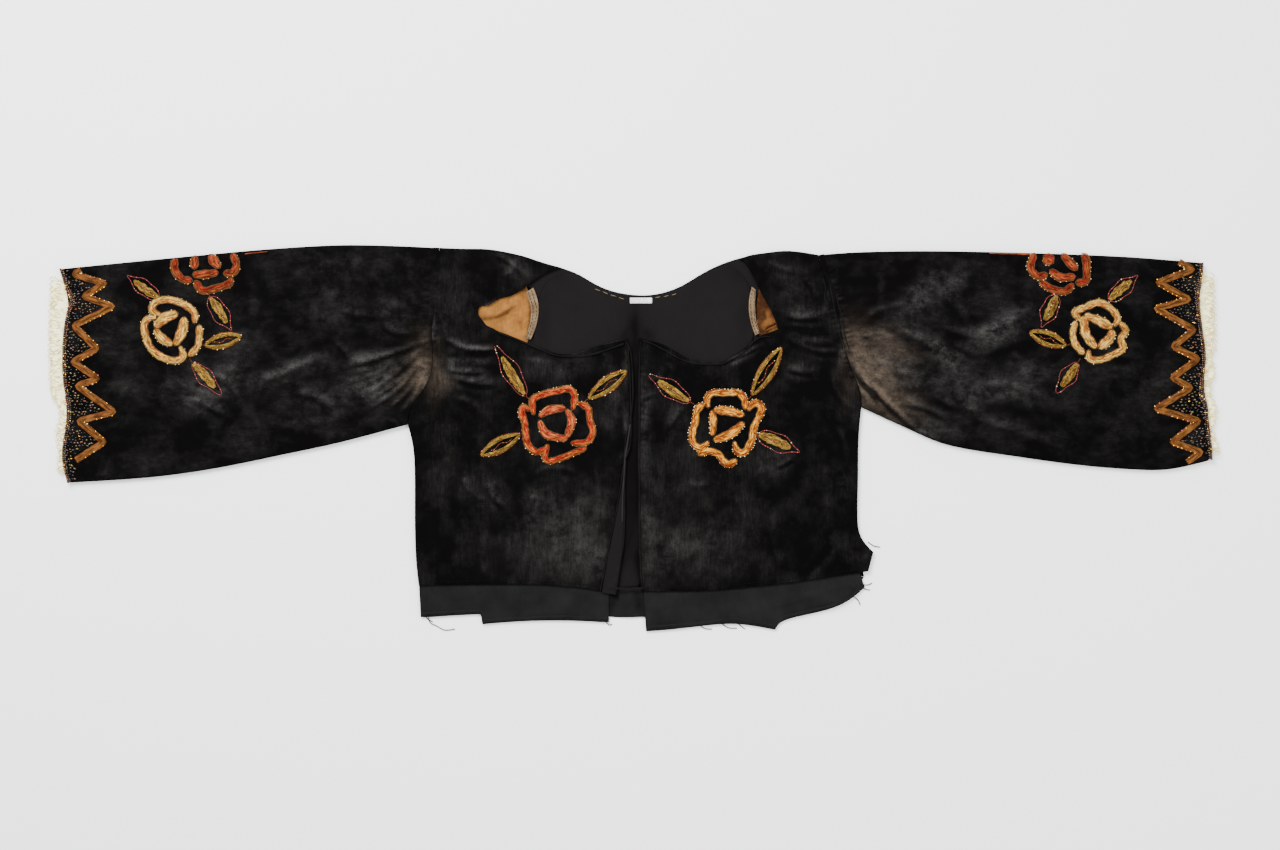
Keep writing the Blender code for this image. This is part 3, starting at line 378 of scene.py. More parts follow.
for makePaint, ending, table in ((plushMaterial, "", plushPaints), (threadMaterial, "", threadPaints),
                                 (beadMaterial, "Bead", beadPaints)):
    paints.update({key: makePaint(key + ending, *row) for key, row in table.items()})
print("materials made:", len(paints))


# paths and placing
def smoothCurve(points, step):
    # a dense curve in metres through points in millimetres
    rows = [Vector((p[0] * mm, p[1] * mm)) for p in points]
    path = []
    for i in range(len(rows) - 1):
        a, b, c, d = rows[max(i - 1, 0)], rows[i], rows[i + 1], rows[min(i + 2, len(rows) - 1)]
        count = max(1, round((c - b).length / (step * mm)))
        for k in range(count):
            t = k / count
            path.append(0.5 * (2 * b + (c - a) * t + (2 * a - 5 * b + 4 * c - d) * t * t
                               + (3 * b - a - 3 * c + d) * t ** 3))
    return path + [rows[-1]]


def straightPath(points, step):
    rows = [Vector((p[0] * mm, p[1] * mm)) for p in points]
    path = []
    for a, b in zip(rows, rows[1:]):
        count = max(1, round((b - a).length / (step * mm)))
        path += [a.lerp(b, k / count) for k in range(count)]
    return path + [rows[-1]]


def pathNormals(path):
    normals = []
    for i in range(len(path)):
        way = path[min(i + 1, len(path) - 1)] - path[max(i - 1, 0)]
        normals.append(Vector((-way.y, way.x)).normalized())
    return normals


def pathLengths(path):
    lengths = [0.0]
    for a, b in zip(path, path[1:]):
        lengths.append(lengths[-1] + (b - a).length)
    return lengths


def evenPoints(path, spacing, rng=None, jitter=0.0):
    # points along a path at a spacing in metres, with their direction
    lengths = pathLengths(path)
    wanted, found, i = spacing / 2, [], 0
    while wanted < lengths[-1]:
        while lengths[i + 1] < wanted:
            i += 1
        share = (wanted - lengths[i]) / max(lengths[i + 1] - lengths[i], 1e-9)
        found.append((path[i].lerp(path[i + 1], share), (path[i + 1] - path[i]).normalized()))
        wanted += spacing * (1 + (rng.uniform(-jitter, jitter) if rng else 0))
    return found


def quadraticCurve(x0, y0, xm, ym, x1, y1, count):
    a, b, c = np.array((x0, y0)), np.array((xm, ym)), np.array((x1, y1))
    through = 2 * b - 0.5 * (a + c)  # the middle point lies on the curve
    t = np.linspace(0, 1, count)[:, None]
    return (1 - t) ** 2 * a + 2 * t * (1 - t) * through + t * t * c


# the points along a crease, how far it runs past its ends, how softly it ends, and the trough beside its ridge
creaseForm = {"points": 9, "runOn": 0.6, "past": 0.12, "soft": 0.35, "trough": 0.35, "beside": 1.7,
              "troughWidth": 1.1}


def creaseField(xy, rows):
    # height in mm of all creases at points in mm
    form = creaseForm
    height = np.zeros(len(xy))
    for x0, y0, xm, ym, x1, y1, width, rise in rows:
        line = quadraticCurve(x0, y0, xm, ym, x1, y1, form["points"])
        near = np.full(len(xy), 1e9)
        side = np.zeros(len(xy))
        along = np.zeros(len(xy))
        spans = len(line) - 1
        for k in range(spans):
            a, way = line[k], line[k + 1] - line[k]
            t = (xy - a) @ way / (way @ way)
            t = np.clip(t, -form["runOn"] if k == 0 else 0, 1 + form["runOn"] if k == spans - 1 else 1)
            off = xy - (a + t[:, None] * way)
            distance = np.hypot(off[:, 0], off[:, 1])
            closer = distance < near
            near[closer] = distance[closer]
            side[closer] = np.sign(way[0] * off[:, 1] - way[1] * off[:, 0])[closer]
            along[closer] = ((k + t) / spans)[closer]
        ends = np.clip(np.minimum(along, 1 - along) + form["past"], 0, form["soft"]) / form["soft"]
        ends = ends * ends * (3 - 2 * ends)
        d = near * side / width
        trough = form["trough"] * np.exp(-((d + form["beside"]) / form["troughWidth"]) ** 2)
        height += rise * ends * (np.exp(-d * d) - trough)
    return height


def zoneField(xy, rows):
    # soft ellipses: centre, half sizes, turn in degrees, strength
    total = np.zeros(len(xy))
    for x, y, rx, ry, turn, strength in rows:
        c, s = math.cos(math.radians(turn)), math.sin(math.radians(turn))
        u = ((xy[:, 0] - x) * c + (xy[:, 1] - y) * s) / rx
        v = (-(xy[:, 0] - x) * s + (xy[:, 1] - y) * c) / ry
        total += strength * np.exp(-(u * u + v * v) * 1.3)
    return total


sharpAngle = 50  # degrees between two faces from which their edge is shaded sharp


def finishPiece(name, bm, materials, recalc=True):
    if recalc:
        bmesh.ops.recalc_face_normals(bm, faces=bm.faces)
    mesh = bpy.data.meshes.new(name)
    bm.to_mesh(mesh)
    bm.free()
    for key in materials:
        mesh.materials.append(paints[key])
    mesh.shade_smooth()
    mesh.set_sharp_from_angle(angle=math.radians(sharpAngle))
    piece = bpy.data.objects.new(name, mesh)
    bpy.context.scene.collection.objects.link(piece)
    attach(piece, "root")
    return piece


def clothFromNode(nodeName, pieceName, paint, slot, levels=2, fine=2.4, foldAngle=55, upZ=-1.0):
    # a node's panel, softened, with its upper side fine enough to carry creases
    bm = bmesh.new()
    bm.from_mesh(nodes[nodeName].data)
    bmesh.ops.remove_doubles(bm, verts=bm.verts, dist=2e-6)
    bmesh.ops.join_triangles(bm, faces=bm.faces, angle_face_threshold=0.9, angle_shape_threshold=1.4)
    crease = bm.edges.layers.float.get("crease_edge") or bm.edges.layers.float.new("crease_edge")
    for edge in bm.edges:
        edge[crease] = 1.0 if edge.calc_face_angle(0.0) > math.radians(foldAngle) else 0.0
    rough = bpy.data.meshes.new(pieceName + "Rough")
    bm.to_mesh(rough)
    bm.free()
    holder = bpy.data.objects.new(pieceName + "Rough", rough)
    bpy.context.scene.collection.objects.link(holder)
    soften = holder.modifiers.new("soften", "SUBSURF")
    soften.levels = soften.render_levels = levels
    graph = bpy.context.evaluated_depsgraph_get()
    soft = bpy.data.meshes.new_from_object(holder.evaluated_get(graph))
    bpy.data.objects.remove(holder)
    bm = bmesh.new()
    bm.from_mesh(soft)
    for _ in range(3):
        long = set()
        for face in bm.faces:
            if face.normal.z > 0.35 and face.calc_center_median().z > upZ:
                long.update(edge for edge in face.edges if edge.calc_length() > fine * mm)
        if not long:
            break
        bmesh.ops.subdivide_edges(bm, edges=list(long), cuts=1, use_grid_fill=True)
    piece = finishPiece(pieceName, bm, [paint], recalc=False)
    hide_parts(nodeName)
    return piece


# what paints sheen and highlight on the pile: the charted sheen zones, the height and the lit side of creases, and
# the rumple
catching = {"pileSheenZones": 0.8, "height": 0.12, "lit": 0.9, "rumple": 0.04}
# how strongly the charted zones count: everywhere, on ridges, on their lit side and on the rumple; on velvet they are
# worn pile, lighter on the lit side as painted highlight, and on linings, tapes and bands they are painted shade
wearAndShadeWeights = {"all": 0.75, "height": 0.25, "lit": 3, "rumple": 0.4, "range": (0.1, 1.5)}


def readVerts(mesh, key):
    values = np.empty(len(mesh.vertices) * 3)
    mesh.vertices.foreach_get(key, values)
    return values.reshape(-1, 3)


def shapeCloth(piece, creases, pileSheenZones=(), wearAndShadeZones=(), rumple=0.35, rumpleScale=(28, 28), lowest=None, seed=0.0,
               depth=1.0, browns=()):
    # lifts the upper side by the listed creases, and marks the painted sheen and highlight on the pile, the worn
    # pile, and the painted shade on linings, tapes and bands
    mesh = piece.data
    co, normals = readVerts(mesh, "co"), readVerts(mesh, "normal")
    up = np.clip(normals[:, 2] * 1.6, 0, 1)
    if lowest is not None:
        up *= co[:, 2] > lowest * mm
    xy = co[:, :2] / mm
    lifted = creaseField(xy, creases) * depth
    ripple = np.array([
        noise.noise(Vector((x / rumpleScale[0], y / rumpleScale[1], seed)))
        + 0.5 * noise.noise(Vector((x / rumpleScale[0] * 2.3, y / rumpleScale[1] * 2.3, seed + 7)))
        for x, y in xy])
    co[:, 2] += up * (lifted + ripple * rumple) * mm
    mesh.vertices.foreach_set("co", co.ravel())
    mesh.update()
    catch = (readVerts(mesh, "normal") - normals)[:, 1] * up  # the side of a crease that faces the light
    # the first mask paints sheen and highlight on the pile; the second marks worn pile on velvet and painted shade on
    # linings, tapes and bands, and rises on the lit side of creases
    shades = {
        "pileSheen": np.clip(catching["pileSheenZones"] * zoneField(xy, pileSheenZones) + catching["height"] * np.clip(lifted, 0, 3)
                         + catching["lit"] * catch + catching["rumple"] * ripple, 0, 1),
        "wearAndShade": np.clip(zoneField(xy, wearAndShadeZones) * np.clip(
            wearAndShadeWeights["all"] + wearAndShadeWeights["height"] * lifted + wearAndShadeWeights["lit"] * catch + wearAndShadeWeights["rumple"] * ripple,
            *wearAndShadeWeights["range"]), 0, 1),
    }
    if browns:
        shades["brown"] = np.clip(zoneField(xy, browns), 0, 1)
    for name, values in shades.items():
        layer = mesh.attributes.new(name, "FLOAT", "POINT")
        layer.data.foreach_set("value", values.astype(np.float32))


def pushCloth(piece, rows):
    # small sideways pulls of the cloth: centre x, y, reach, shift x, y
    for vert in piece.data.vertices:
        for x, y, reach, dx, dy in rows:
            u = math.hypot(vert.co.x / mm - x, vert.co.y / mm - y) / reach
            if u < 1:
                share = (1 - u * u) ** 2 * mm
                vert.co.x += dx * share
                vert.co.y += dy * share


def ticksAlong(points, spacing, length, width, rise, seed):
    # small puckers that cross a sewn line, uneven in length and place
    chance = random.Random(seed)
    rows = []
    for spot, way in evenPoints(straightPath(points, 1), spacing * mm, chance, 0.4):
        x, y = spot / mm
        half = length * chance.uniform(0.3, 0.62)
        across = Vector((-way.y, way.x)) * half
        slide = chance.uniform(-0.4, 0.4) * half
        rows.append((x - across.x + slide, y - across.y, x, y + chance.uniform(-0.8, 0.8), x + across.x + slide,
                     y + across.y, width * chance.uniform(0.8, 1.3), rise * chance.uniform(0.5, 1.2)))
    return rows


# velvet panels: creases are x0, y0, middle x, y, x1, y1, width, rise; zones of painted sheen and of worn pile
# are centre x, y, half sizes, turn, strength; all in mm
sleeveRight = {
    "depth": 0.66,
    "creases": [*ticksAlong([(-208, 160), (-210, 120), (-208, 80), (-218, 50)], 6, 8, 1.0, 0.5, 6),
        (-282, 76, -262, 78, -211, 96, 2.4, 1.5), (-219, 82, -248, 58, -275, 40, 2.4, 1.5),
        (-222, 84, -256, 66, -293, 55, 2.0, 1.0), (-216, 76, -236, 50, -265, 30, 2.2, 1.1),
        (-210, 72, -218, 46, -234, 25, 2.6, 1.1), (-224, 80, -252, 62, -286, 48, 1.7, 0.8),
        (-218, 74, -240, 54, -268, 35, 1.6, 0.8), (-214, 74, -226, 48, -250, 27, 1.8, 0.8),
        (-228, 88, -254, 72, -290, 64, 2.0, 0.8), (-208, 66, -212, 44, -220, 24, 1.8, 0.7),
        (-379, 56, -349, 66, -318, 81, 4.0, 1.1), (-203, 127, -207, 108, -206, 86, 1.6, 0.7),
        (-212, 130, -216, 112, -214, 92, 2.0, 0.7), (-264, 186, -268, 146, -262, 104, 9.0, -1.2),
        (-364, 178, -368, 148, -362, 118, 8.0, -0.9), (-228, 176, -222, 148, -224, 116, 5.0, 1.0),
        (-458, 58, -436, 46, -408, 40, 4.0, 1.0), (-446, 40, -430, 34, -405, 20, 3.6, 0.9),
        (-420, 62, -404, 52, -396, 36, 3.2, 0.8), (-352, 10, -320, 14, -282, 24, 6.0, 1.0),
        (-500, 30, -490, 0, -492, -26, 7.0, -0.8), (-330, 150, -318, 118, -322, 92, 6.0, 0.7),
        (-296, 132, -276, 122, -246, 124, 4.0, 0.9), (-250, 112, -236, 104, -214, 108, 2.6, 0.9),
        (-520, 118, -508, 90, -512, 62, 5.0, 0.6), (-388, 166, -380, 140, -384, 112, 5.5, 0.6),
        (-340, 46, -318, 40, -300, 28, 3.6, 0.8), (-246, 18, -238, 12, -232, 0, 2.8, 0.8),
        (-300, 96, -292, 88, -286, 78, 2.6, 0.7)],
    "pileSheenZones": [(-272, 80, 26, 7, 12, 0.5), (-252, 56, 26, 18, 35, 0.3), (-350, 66, 46, 9, 22, 0.36),
        (-320, 44, 44, 20, 10, 0.2), (-432, 44, 32, 22, 0, 0.4), (-300, 136, 30, 34, 0, 0.18),
        (-400, 96, 40, 30, 0, 0.16), (-242, 128, 20, 24, 0, 0.22), (-500, 50, 22, 26, 0, 0.16),
        (-262, 52, 26, 20, 30, 0.36), (-410, 66, 26, 12, 30, 0.3), (-290, 172, 60, 12, 0, 0.12)],
    "wearAndShadeZones": [(-211, 68, 13, 32, 8, 0.66), (-207, 40, 11, 24, 16, 0.42), (-228, 58, 20, 16, 35, 0.22),
        (-212, 100, 8, 12, 0, 0.12)],
}
sleeveLeft = {
    "depth": 0.68,
    "creases": [*ticksAlong([(192, 168), (203, 134), (212, 98), (222, 64)], 4.2, 9, 1.0, 0.65, 7),
        (209, 85, 232, 54, 278, 9, 3.0, 2.0), (278, 9, 290, 2, 304, -4, 3.0, 1.4),
        (213, 77, 224, 58, 244, 46, 2.4, 1.1), (226, 50, 233, 41, 240, 32, 2.0, -1.5),
        (253, 111, 290, 95, 328, 78, 4.2, 1.7), (305, 112, 343, 104, 386, 125, 4.6, 1.4),
        (286, 158, 280, 140, 267, 122, 3.6, 1.2), (341, 52, 366, 54, 391, 46, 3.6, 1.1),
        (244, 80, 268, 70, 300, 60, 4.0, -0.7), (262, 104, 246, 99, 224, 102, 2.6, 0.8),
        (230, 118, 246, 128, 270, 132, 3.4, 0.8), (300, 146, 318, 132, 330, 110, 5.0, 0.8),
        (420, 22, 430, 0, 434, -18, 6.0, -0.9), (452, 92, 476, 84, 500, 80, 5.0, 0.7),
        (330, 22, 372, 8, 420, -8, 5.5, 1.0), (350, 156, 362, 136, 358, 110, 5.0, 0.6),
        (500, 60, 508, 36, 504, 8, 5.0, 0.6), (380, 84, 372, 70, 376, 52, 3.2, 0.8),
        (300, 40, 322, 30, 344, 30, 3.4, 0.8), (238, 168, 244, 150, 242, 134, 5.0, 0.8),
        (268, 34, 288, 30, 312, 18, 3.0, 0.9), (404, 60, 398, 46, 402, 30, 3.2, 0.7),
        (224, 100, 240, 104, 252, 100, 2.2, 0.8), (318, 92, 340, 84, 356, 86, 3.2, 0.8)],
    "pileSheenZones": [(306, 84, 28, 8, -38, 0.7), (356, 104, 30, 11, 12, 0.75), (284, 140, 16, 34, -30, 0.5),
        (318, 154, 12, 26, -30, 0.36), (366, 48, 34, 14, 0, 0.42), (262, 56, 34, 26, -35, 0.3),
        (316, 56, 36, 20, -12, 0.3), (420, 20, 40, 22, 0, 0.07), (480, 70, 30, 40, 0, 0.05),
        (300, 10, 40, 10, -14, 0.26), (374, 120, 26, 10, 24, 0.44), (330, 30, 16, 12, 0, 0.34),
        (392, 66, 14, 12, 0, 0.34), (252, 76, 26, 10, -16, 0.34)],
    "wearAndShadeZones": [(232, 66, 25, 36, -12, 0.85), (218, 100, 13, 22, 0, 0.45), (256, 38, 30, 18, -36, 0.65),
        (262, 88, 24, 14, -20, 0.36), (246, 18, 16, 9, -30, 0.3)],
}
frontRight = {
    "depth": 0.9,
    "pushes": [(-153, 129, 9, -2.4, 2.0), (-156, 121, 10, -3.6, 0), (-151, 112, 9, -2.4, -1.6),
        (-137, 137, 13, 0, 2.6)],
    "creases": [*ticksAlong([(-198, 160), (-200, 120), (-201, 80)], 6.5, 7, 0.9, 0.5, 3),
        (-186, 98, -168, 89, -142, 89, 3.0, 1.8), (-190, 80, -168, 80, -146, 79, 4.0, -1.2),
        (-188, 69, -170, 66, -153, 67, 2.8, 1.2), (-181, 62, -162, 55, -143, 54, 3.0, 1.1),
        (-203, 120, -199, 104, -196, 84, 1.8, 0.8), (-196, 124, -190, 106, -188, 92, 1.8, 0.6),
        (-137, 182, -122, 172, -110, 160, 2.4, 0.9), (-118, 182, -122, 170, -132, 160, 2.2, 0.7),
        (-172, -40, -169, -48, -164, -56, 2.4, 0.9), (-153, -42, -144, -56, -132, -69, 2.8, 1.0),
        (-96, -50, -100, -58, -105, -63, 2.4, 0.8), (-180, 40, -160, 30, -140, 8, 3.6, 0.8),
        (-112, -70, -106, -100, -110, -132, 3.6, 0.9), (-84, -60, -80, -96, -84, -136, 3.0, 0.8),
        (-58, -50, -56, -92, -60, -138, 3.4, 0.9), (-40, -30, -38, -60, -42, -88, 2.6, 0.7),
        (-128, -86, -126, -112, -128, -138, 3.0, 0.7), (-70, -88, -68, -112, -71, -134, 2.4, -0.7),
        (-24, 70, -20, 40, -22, 8, 2.4, 0.6), (-188, -10, -192, -60, -190, -110, 6.0, 0.6),
        (-34, 84, -30, 78, -32, 66, 1.8, 0.5), (-150, 130, -142, 134, -130, 138, 2.0, 0.7),
        (-98, -36, -84, -30, -62, -34, 3.2, 0.5), (-150, -96, -154, -120, -150, -140, 3.0, 0.6)],
    "pileSheenZones": [(-166, 90, 20, 2.6, -4, 0.5), (-168, 67, 18, 2.4, 0, 0.3), (-203, 106, 2.5, 22, 0, 0.6),
        (-186, 74, 12, 30, 0, 0.2), (-9, 6, 3, 24, 4, 0.6), (-96, 78, 12, 3, -8, 0.3), (-10, 70, 3, 26, 0, 0.35),
        (-72, -92, 46, 44, 0, 0.3), (-150, -56, 22, 20, -40, 0.26), (-100, -60, 12, 10, 0, 0.3),
        (-24, 40, 10, 44, 0, 0.2), (-70, 70, 34, 12, 0, 0.14), (-120, 168, 22, 10, -30, 0.25),
        (-160, 60, 22, 8, -10, 0.3), (-40, -120, 20, 26, 0, 0.3)],
    "browns": [(-198, 66, 20, 44, 0, 1.4)],
    "wearAndShadeZones": [(-200, 64, 10, 28, 0, 0.5), (-186, 56, 12, 9, -10, 0.24), (-56, -94, 34, 46, 0, 0.42),
        (-88, -118, 40, 26, 0, 0.3), (-34, -60, 16, 30, 0, 0.2), (-140, -120, 30, 22, 0, 0.12)],
}
frontLeft = {
    "depth": 0.9,
    "pushes": [(58, 81, 40, 0, -6.5)],
    "creases": [*ticksAlong([(8.5, 70), (8.5, 20), (8, -36)], 4.6, 6, 0.8, 0.55, 4),
        *ticksAlong([(198, 128), (206, 92), (216, 60)], 4.4, 8, 0.9, 0.6, 5), (88, 76, 104, 82, 122, 92, 2.0, 1.0),
        (4, 36, 12, 42, 20, 44, 2.2, 0.9), (32, 9, 40, 22, 49, 31, 2.6, 1.0),
        (150, 123, 166, 120, 184, 122, 3.2, 0.9), (154, 108, 176, 102, 196, 103, 4.0, -1.1),
        (152, 70, 168, 66, 184, 68, 3.0, 0.9), (127, -14, 127, -26, 125, -36, 2.2, 0.9),
        (140, -28, 147, -25, 154, -20, 2.4, 0.9), (70, -64, 74, -92, 71, -122, 3.6, 0.8),
        (40, -94, 36, -118, 29, -140, 3.6, 0.8), (184, -18, 190, -60, 186, -102, 6.0, 0.7),
        (204, -94, 188, -120, 168, -140, 4.0, -0.8), (156, 98, 174, 88, 198, 86, 2.8, 0.8),
        (194, 66, 200, 46, 212, 30, 2.8, 0.8), (22, -30, 26, -50, 22, -76, 3.0, 0.6),
        (100, -60, 108, -84, 104, -112, 3.4, 0.7), (140, -70, 136, -98, 144, -126, 3.4, 0.6),
        (30, 74, 36, 66, 34, 54, 2.2, 0.6), (130, 176, 146, 168, 160, 166, 2.6, 0.7),
        (168, 160, 176, 148, 178, 136, 2.6, 0.8), (54, -44, 62, -48, 74, -44, 2.8, 0.6),
        (12, 60, 18, 58, 26, 60, 2.0, 0.6), (200, 10, 208, -8, 210, -30, 3.0, 0.6),
        (224, -100, 230, -112, 228, -124, 2.6, 0.9)],
    "pileSheenZones": [(104, 80, 22, 3, 30, 0.6), (74, 76, 22, 3, 0, 0.25), (196, 150, 3, 24, -20, 0.4),
        (208, 96, 3, 30, -14, 0.5), (168, 124, 24, 11, 0, 0.26), (160, 68, 14, 10, 0, 0.2), (8, 16, 7, 70, 0, 0.22),
        (60, -110, 60, 34, 0, 0.2), (136, -28, 20, 14, 0, 0.24), (40, 22, 16, 16, 40, 0.2),
        (160, 150, 26, 20, 0, 0.16), (14, -90, 12, 30, 0, 0.26)],
    "browns": [(204, 80, 16, 44, 0, 1.3)],
    "wearAndShadeZones": [(214, 48, 8, 18, -12, 0.6), (208, 84, 5, 24, -12, 0.22), (10, -108, 10, 30, 0, 0.4),
        (160, 68, 12, 9, 0, 0.2), (60, -130, 50, 14, 0, 0.2), (44, -70, 34, 50, 0, 0.16)],
}

velvets = {}
for pieceName, nodeName, paint, table, grainScale in (
        ("sleeveRightVelvet", "sleeve_right", "sleeveVelvet", sleeveRight, (26, 20)),
        ("sleeveLeftVelvet", "sleeve_left", "sleeveVelvet", sleeveLeft, (26, 20)),
        ("frontRightVelvet", "front_right", "bodyVelvet", frontRight, (16, 30)),
        ("frontLeftVelvet", "front_left", "bodyVelvet", frontLeft, (16, 30))):
    piece = clothFromNode(nodeName, pieceName, paint, "velvet", upZ=3 * mm)
    pushCloth(piece, table.get("pushes", ()))
    shapeCloth(piece, table["creases"], table["pileSheenZones"], table["wearAndShadeZones"], 0.42, grainScale, lowest=2.9,
               depth=table["depth"], browns=table.get("browns", ()))
    velvets[nodeName] = piece
velvets["back"] = clothFromNode("back", "backVelvet", "bodyVelvet", "velvet", fine=3.4, upZ=1.2 * mm)
shapeCloth(velvets["back"], [], rumple=0.0)
velvets["back"].data.materials.append(paints["lining"])
for face in velvets["back"].data.polygons:  # the lined inner side, in sight round the neck
    if face.normal.z > 0.5 and face.center.y > 55 * mm and abs(face.center.x) < 150 * mm:
        face.material_index = 1
print("velvet panels shaped")

# linings, tapes, tab and hem bands
plainCloth = {  # each piece's name, paint and slot, its creases and the places in shadow
    # the charted zones of these pieces are painted shade, taking the cloth toward black
    "back_lining": {
        "piece": ("backLiningCloth", "lining", "lining"),
        "creases": [(-10, 128, -8, 112, -12, 92, 3.0, 0.5), (22, 128, 16, 112, 8, 96, 3.0, 0.6),
            (-30, 120, -22, 108, -10, 98, 3.0, 0.4), (-80, 140, -60, 134, -40, 136, 5.0, 0.4),
            (60, 140, 80, 136, 98, 140, 5.0, 0.4), (-8, -110, -7, -90, -8, -60, 3.0, 0.9),
            (30, 120, 22, 108, 14, 92, 2.6, -0.4)],
        "wearAndShadeZones": [(-3, 20, 12, 90, 0, 2.6), (-8, -60, 14, 54, 3, 1.8), (-16, -128, 5, 28, -12, 1.2),
            (3, -128, 5, 28, 8, 1.2), (-1, 112, 4, 22, 0, 0.8), (12, 104, 10, 5, -35, 0.6),
            (-14, 103, 10, 4, 30, 0.6), (-92, 112, 8, 34, 0, 0.4), (108, 120, 8, 34, 0, 0.35),
            (103, 167, 14, 10, -30, 0.5), (-86, 166, 20, 6, -30, 0.45)]},
    "sleeve_lining_right": {
        "piece": ("sleeveLiningRightCloth", "tan", "sleeve_lining"), "fine": 1.7,
        "creases": [(-156, 118, -142, 118, -128, 126, 3.0, 0.9), (-140, 128, -130, 122, -120, 128, 3.0, 0.7),
            (-150, 128, -138, 124, -126, 132, 2.2, -0.8), (-138, 112, -130, 104, -118, 100, 3.0, 0.6)],
        "wearAndShadeZones": [(-161, 122, 5, 14, 0, 1.2), (-111, 149, 7, 5, 20, 1.8), (-134, 143, 20, 3.0, 20, 1.3),
            (-147, 119, 11, 4.6, 4, 0.85), (-133, 122, 9, 3.4, 35, 0.85), (-130, 100, 24, 2.6, -24, 1.1),
            (-127, 128, 9, 2.4, 30, 0.6), (-106, 124, 2.2, 28, -4, 1.4), (-142, 108, 10, 4, -40, 0.5)]},
    "sleeve_lining_left": {
        "piece": ("sleeveLiningLeftCloth", "tanShaded", "sleeve_lining"), "fine": 1.7,
        "creases": [(127, 106, 134, 109, 142, 112, 1.4, -0.8), (126, 140, 128, 126, 126, 112, 2.4, 0.7),
            (138, 124, 132, 118, 128, 122, 2.0, 0.6)],
        "wearAndShadeZones": [(133, 110, 11, 2.2, 30, 2.0), (125, 144, 9, 16, 0, 1.6), (136, 134, 4.4, 18, 28, 1.5),
            (120, 122, 8, 32, 0, 1.9), (126, 101, 10, 5, 0, 1.5), (127, 122, 3.0, 9, 10, 0.7),
            (133, 129, 3.4, 8, 28, 0.8), (141, 120, 2.6, 10, 26, 1.2)]},
    "armhole_tape_right": {"piece": ("tapeRight", "tape", "tape")},
    "armhole_tape_left": {"piece": ("tapeLeft", "tape", "tape")},
    "neck_tab": {"piece": ("neckTabCloth", "tab", "tab")},
    "hem_band_front_right": {
        "piece": ("bandFrontRightCotton", "cotton", "cotton"),
        "creases": [(-155, -181, -100, -178, -27, -179.5, 0.9, -0.45), (-169, -142, -168, -160, -169, -177, 1.6, 0.5),
            (-154, -143, -155, -160, -154, -184, 1.6, -0.6), (-206, -142, -206, -160, -206, -178, 2.0, 0.5),
            (-120, -150, -112, -160, -96, -172, 3.0, 0.5), (-60, -148, -66, -164, -58, -178, 3.0, 0.5),
            (-216, -147, -120, -146, -30, -154, 1.2, -0.4)]},
    "hem_band_front_left": {
        "piece": ("bandFrontLeftCotton", "cotton", "cotton"),
        "creases": [(10, -188, 60, -184, 138, -187, 0.9, -0.45), (139, -167, 168, -160, 197, -148, 2.6, 0.9),
            (141, -142, 143, -160, 142, -186, 1.8, -0.6), (14, -150, 15, -170, 13, -188, 1.8, 0.5),
            (60, -150, 52, -164, 60, -180, 3.0, 0.5), (100, -150, 110, -164, 104, -178, 3.0, 0.5),
            (10, -152, 110, -150, 225, -134, 1.2, -0.4), (200, -138, 208, -146, 222, -148, 2.4, 0.6)]},
    "hem_band_back": {
        "piece": ("bandBackCotton", "cotton", "cotton"),
        "creases": [(-8, -152, -7, -164, -8, -176, 2.0, 0.5), (-22, -152, -20, -164, -22, -174, 2.0, -0.4)],
        "wearAndShadeZones": [(-23, -162, 5, 20, -14, 1.5), (3, -162, 5, 20, 12, 1.5)]},
}
plain = {}
for nodeName, cloth in plainCloth.items():
    piece = clothFromNode(nodeName, *cloth["piece"], fine=cloth.get("fine", 3.2))
    shapeCloth(piece, cloth.get("creases", ()), wearAndShadeZones=cloth.get("wearAndShadeZones", ()), rumple=0.12, rumpleScale=(22, 22),
               seed=3.0)
    plain[nodeName] = piece
print("linings, tapes and bands shaped")


# height of the finished cloth under any point
def treeOf(piece):
    bm = bmesh.new()
    bm.from_mesh(piece.data)
    tree = BVHTree.FromBMesh(bm)
    bm.free()
    return tree


clothTrees = [treeOf(piece) for piece in [*velvets.values(), *plain.values()]]


def topOf(point, fallback=None):
    best = fallback
    for tree in clothTrees:
        hit = tree.ray_cast(Vector((point.x, point.y, 0.1)), Vector((0, 0, -1)))[0]
        if hit is not None and (best is None or hit.z > best):
            best = hit.z
    return best


# strips: plush strokes, ribbon, cords and threads are all one sweep with its own section
def roundSection(sides):
    return [(math.cos(2 * math.pi * k / sides), 1 + math.sin(2 * math.pi * k / sides)) for k in range(sides + 1)]


plushSection = [(1, 0.05), (0.97, 0.5), (0.68, 0.86), (0.25, 1.0), (-0.25, 1.0), (-0.68, 0.86), (-0.97, 0.5),
                (-1, 0.05), (1, 0.05)]
ribbonSection = [(1, 0.1), (0.93, 0.75), (0.55, 1.0), (0, 1.04), (-0.55, 1.0), (-0.93, 0.75), (-1, 0.1), (1, 0.1)]
cordSection = roundSection(5)
threadSection = roundSection(4)


